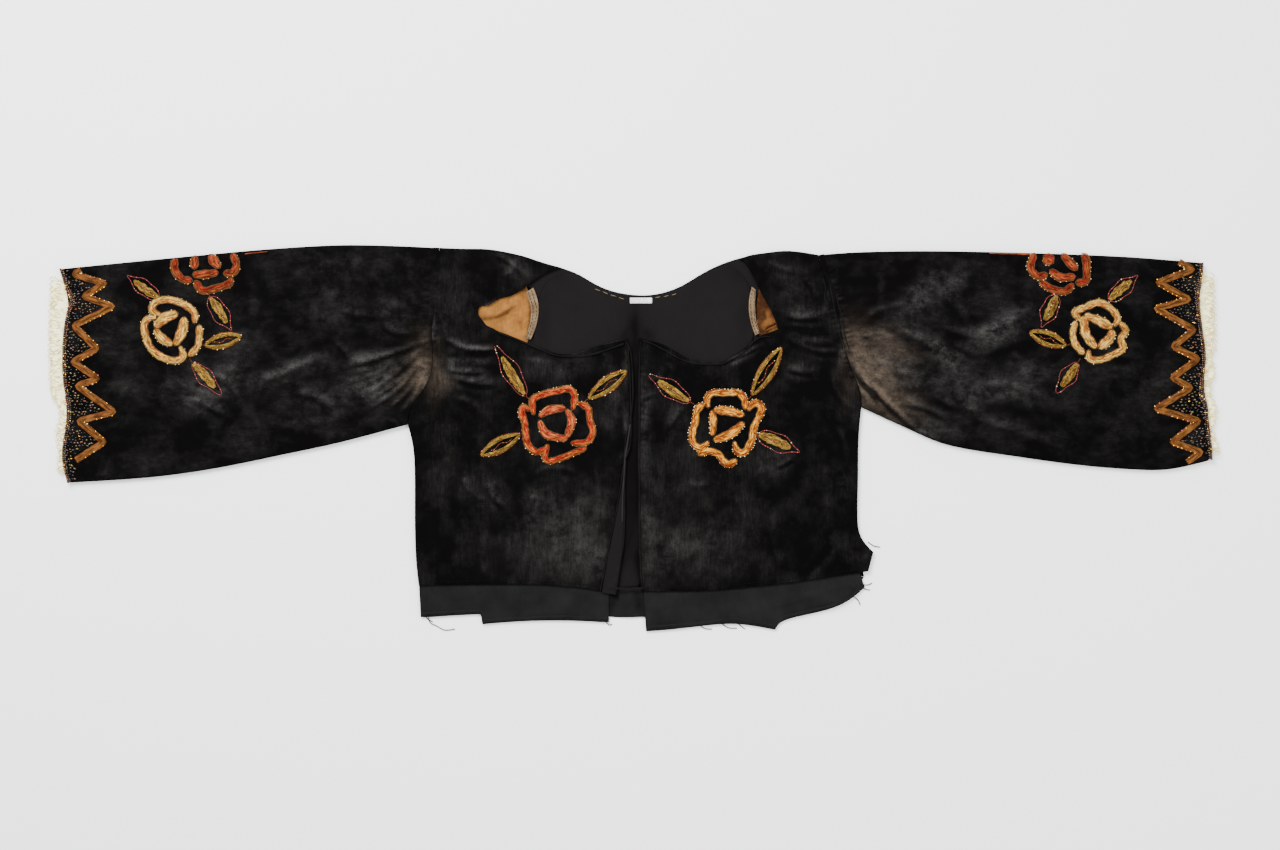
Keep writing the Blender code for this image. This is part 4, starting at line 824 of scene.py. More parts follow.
def sweepStrip(bm, path, halfWidths, section, height, lift=0.0, paintIndex=0, base=None, tuft=0.0, closed=False,
               uvFrom=None, bow=0.0):
    uvLayer = bm.loops.layers.uv.get("strokes") or bm.loops.layers.uv.new("strokes")
    rings, sides = len(path) - 1, len(section) - 1
    made = bmesh.ops.create_grid(bm, x_segments=rings, y_segments=sides, size=0.5)["verts"]
    normals, lengths = pathNormals(path), pathLengths(path)
    if closed:
        normals[0] = normals[-1] = (normals[0] + normals[-1]).normalized()
    where = {}
    for vert in made:
        i, j = round((vert.co.x + 0.5) * rings), round((vert.co.y + 0.5) * sides)
        where[vert] = (i, j)
        side, level = section[j]
        spot = path[i] + normals[i] * halfWidths[i] * side
        ground = base if base is not None else topOf(spot, topOf(path[i], 0.0065))
        rough = tuft * noise.noise(Vector((spot.x, spot.y, 0.3)) * 900) if 0.1 < level else 0.0
        rough += bow * math.sin(math.pi * i / rings)
        vert.co = (spot.x, spot.y, ground + lift + level * height + rough)
    faces = {face for vert in made for face in vert.link_faces}
    for face in faces:
        face.material_index = paintIndex
        face.smooth = True
        for loop in face.loops:
            i, j = where[loop.vert]
            loop[uvLayer].uv = (lengths[i] + uvFrom[0], uvFrom[1]) if uvFrom else (lengths[i], j / sides)
    bmesh.ops.remove_doubles(bm, verts=made, dist=1e-7)
    rim = {edge for vert in made if vert.is_valid for edge in vert.link_edges if edge.is_boundary}
    if rim:
        bmesh.ops.holes_fill(bm, edges=list(rim), sides=0)


def addCord(bm, path, thick, section, paintIndex=0, lift=0.0, **more):
    radius = thick * mm
    sweepStrip(bm, path, [radius] * len(path), section, radius, lift, paintIndex, **more)


def addBead(rows, spot, ground, radius, paintIndex, rng, long=1.0):
    angle = rng.uniform(0, 3.1) if long == 1.0 else rng.uniform(-0.5, 0.5)
    turn = Matrix.Rotation(angle, 4, "Z") @ Matrix.Rotation(rng.uniform(-0.5, 0.5), 4, "X")
    size = Matrix.Diagonal((long, rng.uniform(0.85, 1.1), 0.9, 1.0))
    rows.append((Matrix.Translation((spot.x, spot.y, ground + radius * 0.75)) @ turn @ size, radius, paintIndex))


def beadLine(rows, path, spacing, jitter, raised, radii, kinds, rng):
    for spot, _ in evenPoints(path, spacing * mm, rng, jitter):
        addBead(rows, spot, topOf(spot, 0.007) + raised, rng.uniform(*radii) * mm, rng.choice(kinds), rng)


def joinParts(whole, part):
    # small parts are made apart and then gathered, which is quick
    mesh = bpy.data.meshes.new("part")
    part.to_mesh(mesh)
    part.free()
    whole.from_mesh(mesh)
    bpy.data.meshes.remove(mesh)


def buildBeads(name, rows, paintKeys):
    whole = bmesh.new()
    for start in range(0, len(rows), 24):
        few = bmesh.new()
        for matrix, radius, paintIndex in rows[start:start + 24]:
            made = bmesh.ops.create_uvsphere(few, u_segments=7, v_segments=5, radius=radius, matrix=matrix)
            for face in {face for vert in made["verts"] for face in vert.link_faces}:
                face.material_index = paintIndex
        joinParts(whole, few)
    return finishPiece(name, whole, paintKeys)


# roses: width and points of the outer petals and the bud's strokes, charted round the rose's middle;
# leaves are base x, y, tip x, y, width, and the width of the plush, or 0 for an open leaf; all in mm
roses = {
    "frontRight": {
        "node": "spray_front_right", "slot": "rose_red", "paint": "roseRed", "budPaint": "roseRedBud",
        "middle": (-78, 14), "beads": ("pearl", "gold", "amber"), "edgeBeads": 6.5,
        "petals": [(6.6, [(-24, 10), (-25, 24), (-13, 30), (0, 33), (11, 35), (17, 28), (15, 15)]),
            (6.2, [(20, 21), (30, 16), (32, 4), (35, -8), (29, -18), (14, -19)]),
            (5.8, [(28, -24), (18, -28), (6, -33), (-8, -37), (-13, -33), (-10, -21)]),
            (6.6, [(-11, -24), (-21, -28), (-30, -20), (-32, -8), (-33, 2), (-36, 11), (-34, 17), (-28, 14)])],
        "bud": [(8.2, [(-18, 8), (-8, 14), (7, 16)]), (8.0, [(9, 14), (14, 3), (9, -13)]),
            (8.6, [(-18, 3), (-11, -10), (9, -15)])],
        "leaves": [(-110, 42, -140, 92, 17, 9.5), (-48, 39, -8, 68, 15, 0), (-115, 4, -156, -18, 15, 0)],
    },
    "frontLeft": {
        "node": "spray_front_left", "slot": "rose_gold", "paint": "roseGold", "budPaint": "roseGoldBud",
        "middle": (90, 14), "beads": ("pearl", "pearl", "gold"), "edgeBeads": 4.4,
        "petals": [(6.8, [(-18, 17), (-19, 26), (-13, 31), (0, 31), (12, 31), (18, 24), (19, 15)]),
            (7.4, [(22, 14), (28, 21), (35, 17), (33, 8), (28, -2), (25, -17), (18, -28), (11, -27), (8, -18)]),
            (7.0, [(10, -36), (3, -40), (-3, -37), (-8, -30), (-18, -27), (-28, -30)]),
            (7.0, [(-18, -18), (-25, -24), (-33, -19), (-34, -9), (-31, 2), (-29, 14), (-22, 20)])],
        "bud": [(9.4, [(-12, 14), (2, 13), (17, 9)]), (7.2, [(-14, 13), (-13, 1), (-14, -11)]),
            (9.6, [(-12, -16), (4, -10), (17, 1)])],
        "leaves": [(54, 36, 13, 63, 17, 9.5), (115, 42, 146, 92, 16, 0), (121, 4, 163, -14, 18, 10.5)],
    },
    "sleeveRight": {
        "node": "spray_sleeve_right", "slot": "rose_yellow", "paint": "roseYellow", "budPaint": "roseYellow",
        "middle": (-463, 107), "beads": ("pearl", "smoke", "gold"), "edgeBeads": 8.0,
        "petals": [(7.2, [(-11, 16), (-19, 20), (-16, 28), (-4, 31), (11, 27), (23, 18), (23, 8)]),
            (6.8, [(28, 5), (28, -5), (26, -16), (18, -25)]),
            (7.4, [(9, -16), (12, -26), (3, -30), (-10, -26), (-20, -18), (-25, -7), (-27, 5), (-23, 12),
                   (-15, 13)])],
        "bud": [(11.2, [(-16, 4), (-6, 13), (6, 17)]), (11.0, [(13, 13), (11, 0), (4, -14)]),
            (9.6, [(-16, 1), (-9, -8), (1, -14)])],
        "leaves": [(-475, 139, -507, 162, 15, 8.6), (-430, 92, -392, 102, 15, 0), (-442, 75, -413, 43, 15, 9.0)],
    },
    "sleeveLeft": {
        "node": "spray_sleeve_left", "slot": "rose_yellow", "paint": "roseYellow", "budPaint": "roseYellow",
        "middle": (460, 107), "beads": ("pearl", "smoke", "gold"), "edgeBeads": 8.0,
        "petals": [(7.2, [(-16, 10), (-23, 18), (-13, 23), (1, 28), (13, 22), (20, 12), (16, 5)]),
            (7.0, [(22, 8), (28, 0), (23, -8), (25, -18), (17, -23), (3, -29), (-8, -28), (-9, -20)]),
            (6.8, [(-14, -23), (-22, -14), (-25, -3), (-22, 9)])],
        "bud": [(10.4, [(-13, 15), (-1, 11), (14, 3)]), (10.0, [(-14, 14), (-12, -3), (-2, -17)]),
            (10.6, [(15, 0), (11, -9), (1, -17)])],
        "leaves": [(471, 137, 500, 162, 16, 9.0), (429, 92, 391, 106, 15, 0), (440, 75, 419, 45, 16, 9.0)],
    },
    "foldRight": {
        "node": "spray_fold_right", "slot": "rose_red", "paint": "roseFold", "budPaint": "roseFoldBud",
        "middle": (-429, 176), "beads": ("gold", "pearl", "smoke"), "edgeBeads": 7.0,
        "petals": [(7.6, [(-14, -19), (-24, -17), (-31, -7), (-29, 6)]),
            (7.4, [(25, -17), (24, -22), (10, -27), (-3, -29), (-10, -20)]),
            (7.0, [(27, 7), (31, -3), (28, -11), (19, -12)])],
        "bud": [(9.6, [(-9, 9), (-11, 0), (-11, -7)]), (10.4, [(4, 7), (9, 0), (14, -6)]),
            (8.8, [(-12, -13), (0, -13), (12, -11)])],
        "leaves": [(-425, 141, -403, 107, 17, 8.6)],
    },
    "foldLeft": {
        "node": "spray_fold_left", "slot": "rose_red", "paint": "roseFold", "budPaint": "roseFoldBud",
        "middle": (421, 177), "beads": ("pearl", "gold", "pearl"), "edgeBeads": 5.0,
        "petals": [(7.4, [(-12, -14), (-21, -16), (-28, -7), (-24, 7)]),
            (7.2, [(14, -24), (6, -31), (-8, -28), (-18, -21)]),
            (7.6, [(16, 6), (26, 4), (28, -8), (27, -21), (18, -22)])],
        "bud": [(13.0, [(-14, 4), (-10, 1), (-6, -2)]), (8.8, [(4, 6), (11, -2), (18, -9)]),
            (9.0, [(-8, -10), (2, -17), (16, -16)])],
        "leaves": [(419, 143, 404, 110, 17, 9.6)],
    },
}
embroidery = {"plushHeight": 1.6, "tuft": 0.3, "cordRadius": 0.45, "step": 1.5, "layer": 0.1, "pinkRadius": 0.36,
              "slim": 0.83, "strandStep": 0.7, "strandRadius": 0.32, "leafHeight": 1.4, "leafFill": 1.12,
              "openWidth": 4.9, "rimRadius": 0.42, "veinRadius": 0.4, "stemLength": 5, "blunt": 0.45, "taper": 0.1,
              "cordGap": 0.55, "beadGap": 0.9, "beadRadii": (0.42, 0.75)}
strandSection = roundSection(3)


def onCloth(path):
    # the stretch of a path that lies on the cloth, so that a rose at the fold ends there
    inside = [topOf(point) is not None and topOf(point) > 0.0052 for point in path]
    best, start = (0, 0), None
    for i, here in enumerate(inside + [False]):
        if here and start is None:
            start = i
        if not here and start is not None:
            if i - start > best[1] - best[0]:
                best = (start, i)
            start = None
    return path[best[0]:best[1]]


def strokeWidths(path, width, rng, lens=False):
    last = len(path) - 1
    blunt = embroidery["blunt"]
    wild = rng.uniform(0, 50)
    widths = []
    for k in range(last + 1):
        s = k / last
        if lens:
            form = 0.3 + 0.7 * math.sin(math.pi * s) ** 0.6
        else:
            form = min(1.0, blunt + (1 - blunt) * min(s, 1 - s) / embroidery["taper"])
        ragged = 1 + 0.26 * noise.noise(Vector((wild, k * 0.31, 0))) + 0.1 * noise.noise(Vector((wild, k * 1.1, 4)))
        widths.append(width * embroidery["slim"] / 2 * mm * form * ragged)
    return widths


def outlineOf(path, widths, gap):
    normals = pathNormals(path)
    left = [p + n * (w + gap) for p, n, w in zip(path, normals, widths)]
    right = [p - n * (w + gap) for p, n, w in zip(path, normals, widths)]
    start = path[0] - (path[1] - path[0]).normalized() * (widths[0] * 0.5 + gap)
    end = path[-1] + (path[-1] - path[-2]).normalized() * (widths[-1] * 0.5 + gap)
    return [start] + left + [end] + right[::-1] + [start]


def addStrands(bm, path, widths, paintIndex, lift, rng, reach=(4.5, 8.0), lean=0.25, step=None):
    # loose threads laid over a stroke, each in the colour of the place it starts from
    normals, lengths = pathNormals(path), pathLengths(path)
    radius = embroidery["strandRadius"] * mm
    few, kept, u = bmesh.new(), 0, 0.0
    few.loops.layers.uv.new("strokes")
    while u < lengths[-1] - 1.5 * mm:
        v = rng.uniform(-1.0, 1.0)
        long = min(rng.uniform(*reach) * mm, lengths[-1] - u)
        slant = rng.uniform(-lean, lean)
        line, level = [], 0.0
        for k in range(4):
            at = u + long * k / 3
            i = min(max(sum(1 for length in lengths if length <= at) - 1, 0), len(path) - 2)
            share = (at - lengths[i]) / max(lengths[i + 1] - lengths[i], 1e-9)
            side = max(-1.04, min(1.04, v + slant * (k / 3 - 0.5)))
            width = widths[i] * (1 - share) + widths[i + 1] * share
            line.append(path[i].lerp(path[i + 1], share) + normals[i] * width * side)
            level += max(0.0, 1 - side * side) ** 0.5 / 4
        height = embroidery["plushHeight"] * mm * (0.25 + 0.72 * level)
        thin = [radius * 0.55, radius, radius, radius * 0.5]
        sweepStrip(few, line, thin, strandSection, radius, lift + height - radius, paintIndex,
                   uvFrom=(u + rng.uniform(0, 0.02), (1 - v) / 2 + rng.uniform(-0.08, 0.08)), bow=0.35 * mm)
        u += rng.uniform(0.5, 1.5) * (step or embroidery["strandStep"]) * mm
        kept += 1
        if kept % 30 == 0:
            joinParts(bm, few)
            few = bmesh.new()
            few.loops.layers.uv.new("strokes")
    joinParts(bm, few)


def addStroke(bm, beads, path, widths, paintIndex, cordIndex, lift, rose, rng):
    # a plush stroke with its loose strands, the cord round it and the beads along its outer side
    work, kinds = embroidery, len(rose["beads"])
    sweepStrip(bm, path, widths, plushSection, work["plushHeight"] * mm, lift, paintIndex, tuft=work["tuft"] * mm)
    addStrands(bm, path, widths, paintIndex, lift, rng)
    outline = outlineOf(path, widths, work["cordGap"] * mm)
    addCord(bm, outline, work["cordRadius"], cordSection, cordIndex, lift * 0.5, closed=True)
    rim = [p + n * (w + work["beadGap"] * mm) for p, n, w in zip(path, pathNormals(path), widths)]
    for spot, _ in evenPoints(rim, rose["edgeBeads"] * mm, rng, 0.6):
        ground = topOf(spot)
        if ground is not None and ground > 0.004:
            kind = min(int(rng.random() ** 1.4 * kinds), kinds - 1)
            addBead(beads, spot, ground + 0.3 * mm, rng.uniform(*work["beadRadii"]) * mm, kind, rng)


def addLeaf(bm, beads, leaf, rose, rng, order):
    work = embroidery
    base, tip = Vector(leaf[:2]) * mm, Vector(leaf[2:4]) * mm
    leafWidth, plush = leaf[4:]
    way = tip - base
    side = Vector((-way.y, way.x)).normalized() * leafWidth / 2 * mm
    shares = [k / 22 for k in range(23)]
    lift = (3 + order) * work["layer"] * mm
    if not plush:
        for turn in (1, -1):
            path = [base.lerp(tip, 0.02 + 0.94 * s) + side * turn * 0.74 * math.sin(math.pi * s) ** 0.85
                    for s in shares]
            path = path if turn > 0 else path[::-1]
            widths = strokeWidths(path, work["openWidth"], rng, lens=True)
            sweepStrip(bm, path, widths, plushSection, work["leafHeight"] * mm, lift, 1, tuft=work["tuft"] * mm)
            addStrands(bm, path, widths, 1, lift, rng, (2.5, 4.5), 0.7, 0.7)
            rim = [p + n * (w + 0.4 * mm) for p, n, w in zip(path, pathNormals(path), widths)]
            addCord(bm, rim, work["rimRadius"], cordSection, 3)
            beadLine(beads, rim, 7.5, 0.6, 0.4 * mm, (0.55, 0.8), (3, 3, 4, 0), rng)
        vein = [base.lerp(tip, 0.22 + 0.5 * s) + side * 0.16 * math.sin(9 * s + order) for s in shares]
    else:
        path = [base.lerp(tip, 0.03 + 0.75 * s) + side * 0.1 * math.sin(math.pi * s) for s in shares]
        widths = strokeWidths(path, plush * work["leafFill"], rng, lens=True)
        sweepStrip(bm, path, widths, plushSection, work["leafHeight"] * mm, lift, 1, tuft=work["tuft"] * mm)
        addStrands(bm, path, widths, 1, lift, rng, (3.5, 6), 0.9, 0.5)
        for turn in (1, -1):
            bends = [math.sin(math.pi * s ** 0.8) ** 0.9 + 0.1 * math.sin(13 * s + order) for s in shares]
            arc = [base.lerp(tip, s) + side * turn * bend for s, bend in zip(shares, bends)]
            addCord(bm, arc, work["pinkRadius"], threadSection, 4)
            beadLine(beads, arc, 4.2, 0.75, 0, (0.35, 0.7), (4, 4, 4, 3, 0), rng)
        vein = [base.lerp(tip, 0.1 + 0.6 * s) + side * 0.08 * math.sin(9 * s) for s in shares]
    veinLift = lift + 1.5 * mm if plush else 0.1 * mm
    addCord(bm, vein, work["veinRadius"], threadSection, 3, veinLift)
    beadLine(beads, vein, 4.5, 0.4, veinLift, (0.5, 0.7), (3, 4, 2), rng)
    toRose = (Vector(rose["middle"]) * mm - base).normalized()  # the stem runs from the leaf to its rose
    stem = [base + toRose * s * work["stemLength"] * mm for s in (0, 0.35, 0.7, 1.0)]
    addCord(bm, stem, work["veinRadius"], threadSection, 3)


def buildRose(name, rose, seed):
    rng = random.Random(seed)
    bm, beads = bmesh.new(), []
    centre = Vector(rose["middle"])
    order = 0
    for group in ("bud", "petals"):
        for width, chart in rose[group]:
            turned = sum(a[0] * b[1] - a[1] * b[0] for a, b in zip(chart, chart[1:]))
            rows = chart if turned < 0 else chart[::-1]
            path = onCloth(smoothCurve([(centre.x + x, centre.y + y) for x, y in rows], embroidery["step"]))
            if len(path) < 5:
                continue
            widths = strokeWidths(path, width, rng, lens=group == "bud")
            paintIndex = 5 if group == "bud" else 0
            addStroke(bm, beads, path, widths, paintIndex, 2, order * embroidery["layer"] * mm, rose, rng)
            order += 1
    for leaf in rose["leaves"]:
        addLeaf(bm, beads, leaf, rose, rng, order % 3)
        order += 1
    paintKeys = [rose["paint"], "leafGold", "goldCord", "rustCord", "pinkThread", rose["budPaint"]]
    spray = finishPiece(name + "Spray", bm, paintKeys)
    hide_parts(rose["node"])
    beadPiece = buildBeads(name + "SprayBeads", beads, [*rose["beads"], "amber", "pink"])
    return spray, beadPiece


for seed, (name, rose) in enumerate(roses.items()):
    spray, beadPiece = buildRose(name, rose, seed + 11)
    print("rose", name, len(spray.data.polygons), "faces,", len(beadPiece.data.polygons), "bead faces")

# cuffs: zigzag ribbon, bead field, bead rows and lace; the tables run from the fold to the underside
cuffs = {
    "Right": {
        "zigzag": "cuff_zigzag_right", "lace": "cuff_lace_right", "body": 1, "laceShare": 1.0,
        "ribbon": [(-553, 167.5), (-560, 163), (-529, 154), (-550, 141), (-521, 131), (-560, 112), (-537, 89),
            (-561, 76), (-536, 59), (-557, 52), (-520, 26), (-555, 17), (-530, -4), (-558, -22)],
        "edge": [(-575, 169), (-569, 151), (-563, 137), (-568, 124), (-571, 103), (-572, 82), (-571, 55), (-567, 34),
            (-567, 17), (-571, -2), (-572, -22), (-567, -45)],
        "laceEdge": [(-583, 164), (-584, 138), (-585, 108), (-585, 78), (-583, 43), (-576, 33), (-575, 18), (-578, 8),
            (-577, -7), (-575, -14), (-577, -27), (-574, -39)],
        "laceThin": [(-585, 86, 6, 15, 0, 1.3), (-584, 158, 4, 6, 0, 0.6), (-580, 22, 6, 11, 0, 1.1),
            (-582, -4, 4, 12, 0, 0.5)],
    },
    "Left": {
        "zigzag": "cuff_zigzag_left", "lace": "cuff_lace_left", "body": -1, "laceShare": 0.66,
        "ribbon": [(541, 175.6), (555, 168), (520, 155), (551, 138), (518, 129), (556, 108), (535, 91), (560, 79),
            (534, 60), (553, 50), (518, 29), (561, 17), (534, -4), (563, -14), (549, -24)],
        "edge": [(566, 175), (565, 163), (561, 144), (562, 131), (564, 113), (568, 81), (565, 44), (570, 31),
            (571, 10), (574, -7), (575, -22)],
        "laceEdge": [(578, 168), (584, 150), (585, 120), (583, 88), (577, 80), (583, 65), (577, 50), (584, 25),
            (578, 8), (585, -10), (582, -20)],
        "laceThin": [(584, 140, 9, 60, 0, 1.2), (585, 90, 9, 20, 0, 1.2), (586, 34, 8, 20, 0, 1.2),
            (589, -8, 7, 20, 0, 1.0)],
    },
}
cuffWork = {"ribbonWidth": 6.8, "ribbonHeight": 1.3, "pitch": 3.6, "jitter": 1.0, "beadRadius": 0.85,
            "edgeSpacing": 2.1, "sideSpacing": 5.2, "corner": 2.4, "step": 1.3, "edgeRoll": 0.8,
            "fieldStart": 4.6, "fieldClear": 4.4, "rowShare": 0.88, "sideInset": 0.4, "sideClear": 2.4}
beadShares = {  # in the order of beadKinds: the field, three rows along the edge by their inset, the ribbon's side
    "field": (40, 18, 16, 4, 3, 0, 0, 6, 13),
    "rows": {-0.2: (8, 20, 42, 14, 11, 0, 0, 4, 10), 1.6: (10, 18, 42, 15, 9, 0, 0, 6, 8),
             3.4: (16, 28, 30, 10, 6, 0, 0, 12, 8)},
    "side": (0, 0, 14, 16, 58, 8, 4, 0, 0),
}
beadKinds = ["jet", "smoke", "brown", "amber", "gold", "pearl", "pink", "lilac", "olive"]


def roundedZigzag(points):
    # straight legs with each corner rounded off a little
    rows = [Vector(p) for p in points]
    corner = cuffWork["corner"]
    eased = [rows[0]]
    for a, b, c in zip(rows, rows[1:], rows[2:]):
        start, end = b + (a - b).normalized() * corner, b + (c - b).normalized() * corner
        eased += [start, (start + 2 * b + end) / 4, end]
    eased.append(rows[-1])
    return straightPath(eased, cuffWork["step"])


def distanceTo(rows, point):
    nearest = 1.0
    for a, b in zip(rows, rows[1:]):
        way = b - a
        t = max(0.0, min(1.0, (point - a).dot(way) / way.length_squared))
        nearest = min(nearest, (a + way * t - point).length)
    return nearest


def xAt(rows, y):
    # where a line that runs down the cuff stands at height y
    for a, b in zip(rows, rows[1:]):
        if a.y >= y >= b.y:
            return a.x + (b.x - a.x) * (a.y - y) / max(a.y - b.y, 1e-9)
    return rows[0].x if y > rows[0].y else rows[-1].x


def buildCuff(side, cuff, seed):
    rng = random.Random(seed)
    work = cuffWork
    bm = bmesh.new()
    path = roundedZigzag(cuff["ribbon"])
    widths = [work["ribbonWidth"] / 2 * mm * (1 + 0.14 * noise.noise(Vector((k * 0.35, seed, 0))))
              for k in range(len(path))]
    sweepStrip(bm, path, widths, ribbonSection, work["ribbonHeight"] * mm, 0.1 * mm, tuft=0.25 * mm)
    roll = [p + Vector((cuff["body"] * 1.0 * mm, 0)) for p in smoothCurve(cuff["edge"], 1.5)]
    addCord(bm, roll, work["edgeRoll"], cordSection, 1, -0.4 * mm)
    ribbon = finishPiece("cuffRibbon" + side, bm, ["brownRibbon", "cuffRoll"])
    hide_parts(cuff["zigzag"])

    beads = []
    zig = [Vector(p) * mm for p in cuff["ribbon"]]
    edge = smoothCurve(cuff["edge"], 3)
    body = cuff["body"]
    top, low = edge[0].y - 3 * mm, edge[-1].y + 4 * mm
    row = 0
    y = top
    while y > low:
        zx, ex = xAt(zig, y), xAt(edge, y)
        x = ex + body * (work["fieldStart"] + (row % 2) * work["pitch"] / 2) * mm
        while (zx - x) * body > 0:
            spot = Vector((x, y)) + Vector((rng.uniform(-1, 1), rng.uniform(-1, 1))) * work["jitter"] * mm
            if distanceTo(zig, spot) > work["fieldClear"] * mm:
                kind = rng.choices(range(9), beadShares["field"])[0]
                addBead(beads, spot, topOf(spot, 0.007), rng.uniform(0.8, 1.1) * work["beadRadius"] * mm, kind, rng,
                        long=rng.uniform(1.2, 1.9))
            x += body * work["pitch"] * mm
        y -= work["pitch"] * work["rowShare"] * mm
        row += 1
    for inset, weights in beadShares["rows"].items():
        for spot, _ in evenPoints(edge, work["edgeSpacing"] * mm, rng, 0.2):
            spot = spot + Vector((body * inset * mm, 0))
            kind = rng.choices(range(9), weights)[0]
            ground = topOf(spot)
            if ground is not None and ground > 0.0042:
                addBead(beads, spot, ground, rng.uniform(0.85, 1.05) * mm, kind, rng)
    # the side of the ribbon that faces the body is edged with bright beads
    for a, b in zip(zig, zig[1:]):
        way = (b - a).normalized()
        out = Vector((-way.y, way.x))
        out = out if out.x * body > 0 else -out
        for spot, _ in evenPoints([a, b], work["sideSpacing"] * mm, rng, 0.25):
            spot = spot + out * (work["ribbonWidth"] / 2 - work["sideInset"] + rng.uniform(-0.4, 0.3)) * mm
            if distanceTo(zig, spot) < work["sideClear"] * mm:
                continue
            kind = rng.choices(range(9), beadShares["side"])[0]
            addBead(beads, spot, topOf(spot, 0.007) + 0.5 * mm, rng.uniform(0.7, 1.0) * mm, kind, rng)
    beadPiece = buildBeads("cuffBeads" + side, beads, beadKinds)
    print("cuff", side, len(beadPiece.data.polygons), "bead faces")


for seed, (side, cuff) in enumerate(cuffs.items()):
    buildCuff(side, cuff, seed + 31)


# lace: a netted strip with a scalloped thread edge
def laceMaterial():
    material, tree, shader = newMaterial("laceNet", Roughness=0.85)
    place = addNode(tree, "TexCoord").outputs["Object"]
    cells = addNode(tree, "TexVoronoi", {"Vector": place, "Scale": 620.0}, feature="DISTANCE_TO_EDGE").outputs[0]
    clump = noiseOf(tree, place, 210.0, 3.0, 0.6)
    # here the attribute marks only where the net thins
    thin = remap(tree, addNode(tree, "Attribute", attribute_name="wearAndShade").outputs["Fac"], 0.1, 0.9, 1.0, 0.14)
    hole = calc(tree, "GREATER_THAN", cells, times(tree, remap(tree, clump, 0.36, 0.6, 0.3, 0.8), thin))
    tree.links.new(calc(tree, "SUBTRACT", 1.0, hole), shader.inputs["Alpha"])
    colour = blendColour(tree, remap(tree, clump, 0.35, 0.6), (0.66, 0.57, 0.25), (1.0, 0.93, 0.56))
    tree.links.new(colour, shader.inputs["Base Color"])
    addBump(tree, shader, cells, 0.25, 0.0004)
    return material


paints["laceNet"] = laceMaterial()
laceWork = {"loop": 5.4, "loopReach": (1.2, 2.4), "loopRadius": 0.45, "tuck": 4.5,
            "strands": 3, "strandReach": (3, 6), "strandSway": 2.5, "strandBend": 1.2, "strandRadius": 0.4}


def buildLace(side, cuff, seed):
    rng = random.Random(seed)
    net = clothFromNode(cuff["lace"], "laceNet" + side, "laceNet", "lace", levels=1, fine=2.2)
    shapeCloth(net, [], wearAndShadeZones=cuff["laceThin"], rumple=0.5, rumpleScale=(7, 7), seed=seed)
    bm = bmesh.new()
    edge = smoothCurve(cuff["laceEdge"], 2)
    cuffEdge = smoothCurve(cuff["edge"], 3)
    out = -cuff["body"]
    for spot in [*(vert.co for vert in net.data.vertices), *edge]:  # drawn in towards the cuff by its share
        past = (spot.x - xAt(cuffEdge, spot.y)) * out
        spot.x -= out * max(past, 0) * (1 - cuff["laceShare"])
    work = laceWork
    inner = Vector((-out * work["tuck"] * mm, 0))
    loops = evenPoints(edge, work["loop"] * mm, rng, 0.15)
    for (spot, _), (after, _) in zip(loops, loops[1:]):
        middle = (spot + after) / 2 + Vector((out * rng.uniform(*work["loopReach"]) * mm, 0))
        arc = [spot + inner * 0.3, spot.lerp(middle, 0.6), middle, after.lerp(middle, 0.6), after + inner * 0.3]
        addCord(bm, arc, work["loopRadius"], threadSection, base=(3.0 + rng.uniform(0, 1.2)) * mm)
        for k in range(work["strands"]):
            start = spot.lerp(after, (k + 0.5) / work["strands"]) + inner * rng.uniform(0.7, 2.6)
            reach, sway = rng.uniform(*work["strandReach"]), rng.uniform(-1, 1) * work["strandSway"]
            end = start + Vector((out * reach, sway)) * mm
            bend = start.lerp(end, 0.5) + Vector((0, rng.uniform(-1, 1) * work["strandBend"] * mm))
            addCord(bm, [start, bend, end], work["strandRadius"], threadSection, base=(2.9 + rng.uniform(0, 1)) * mm)
    threads = finishPiece("laceThreads" + side, bm, ["laceThread"])


for seed, (side, cuff) in enumerate(cuffs.items()):
    buildLace(side, cuff, seed + 51)
print("lace made")

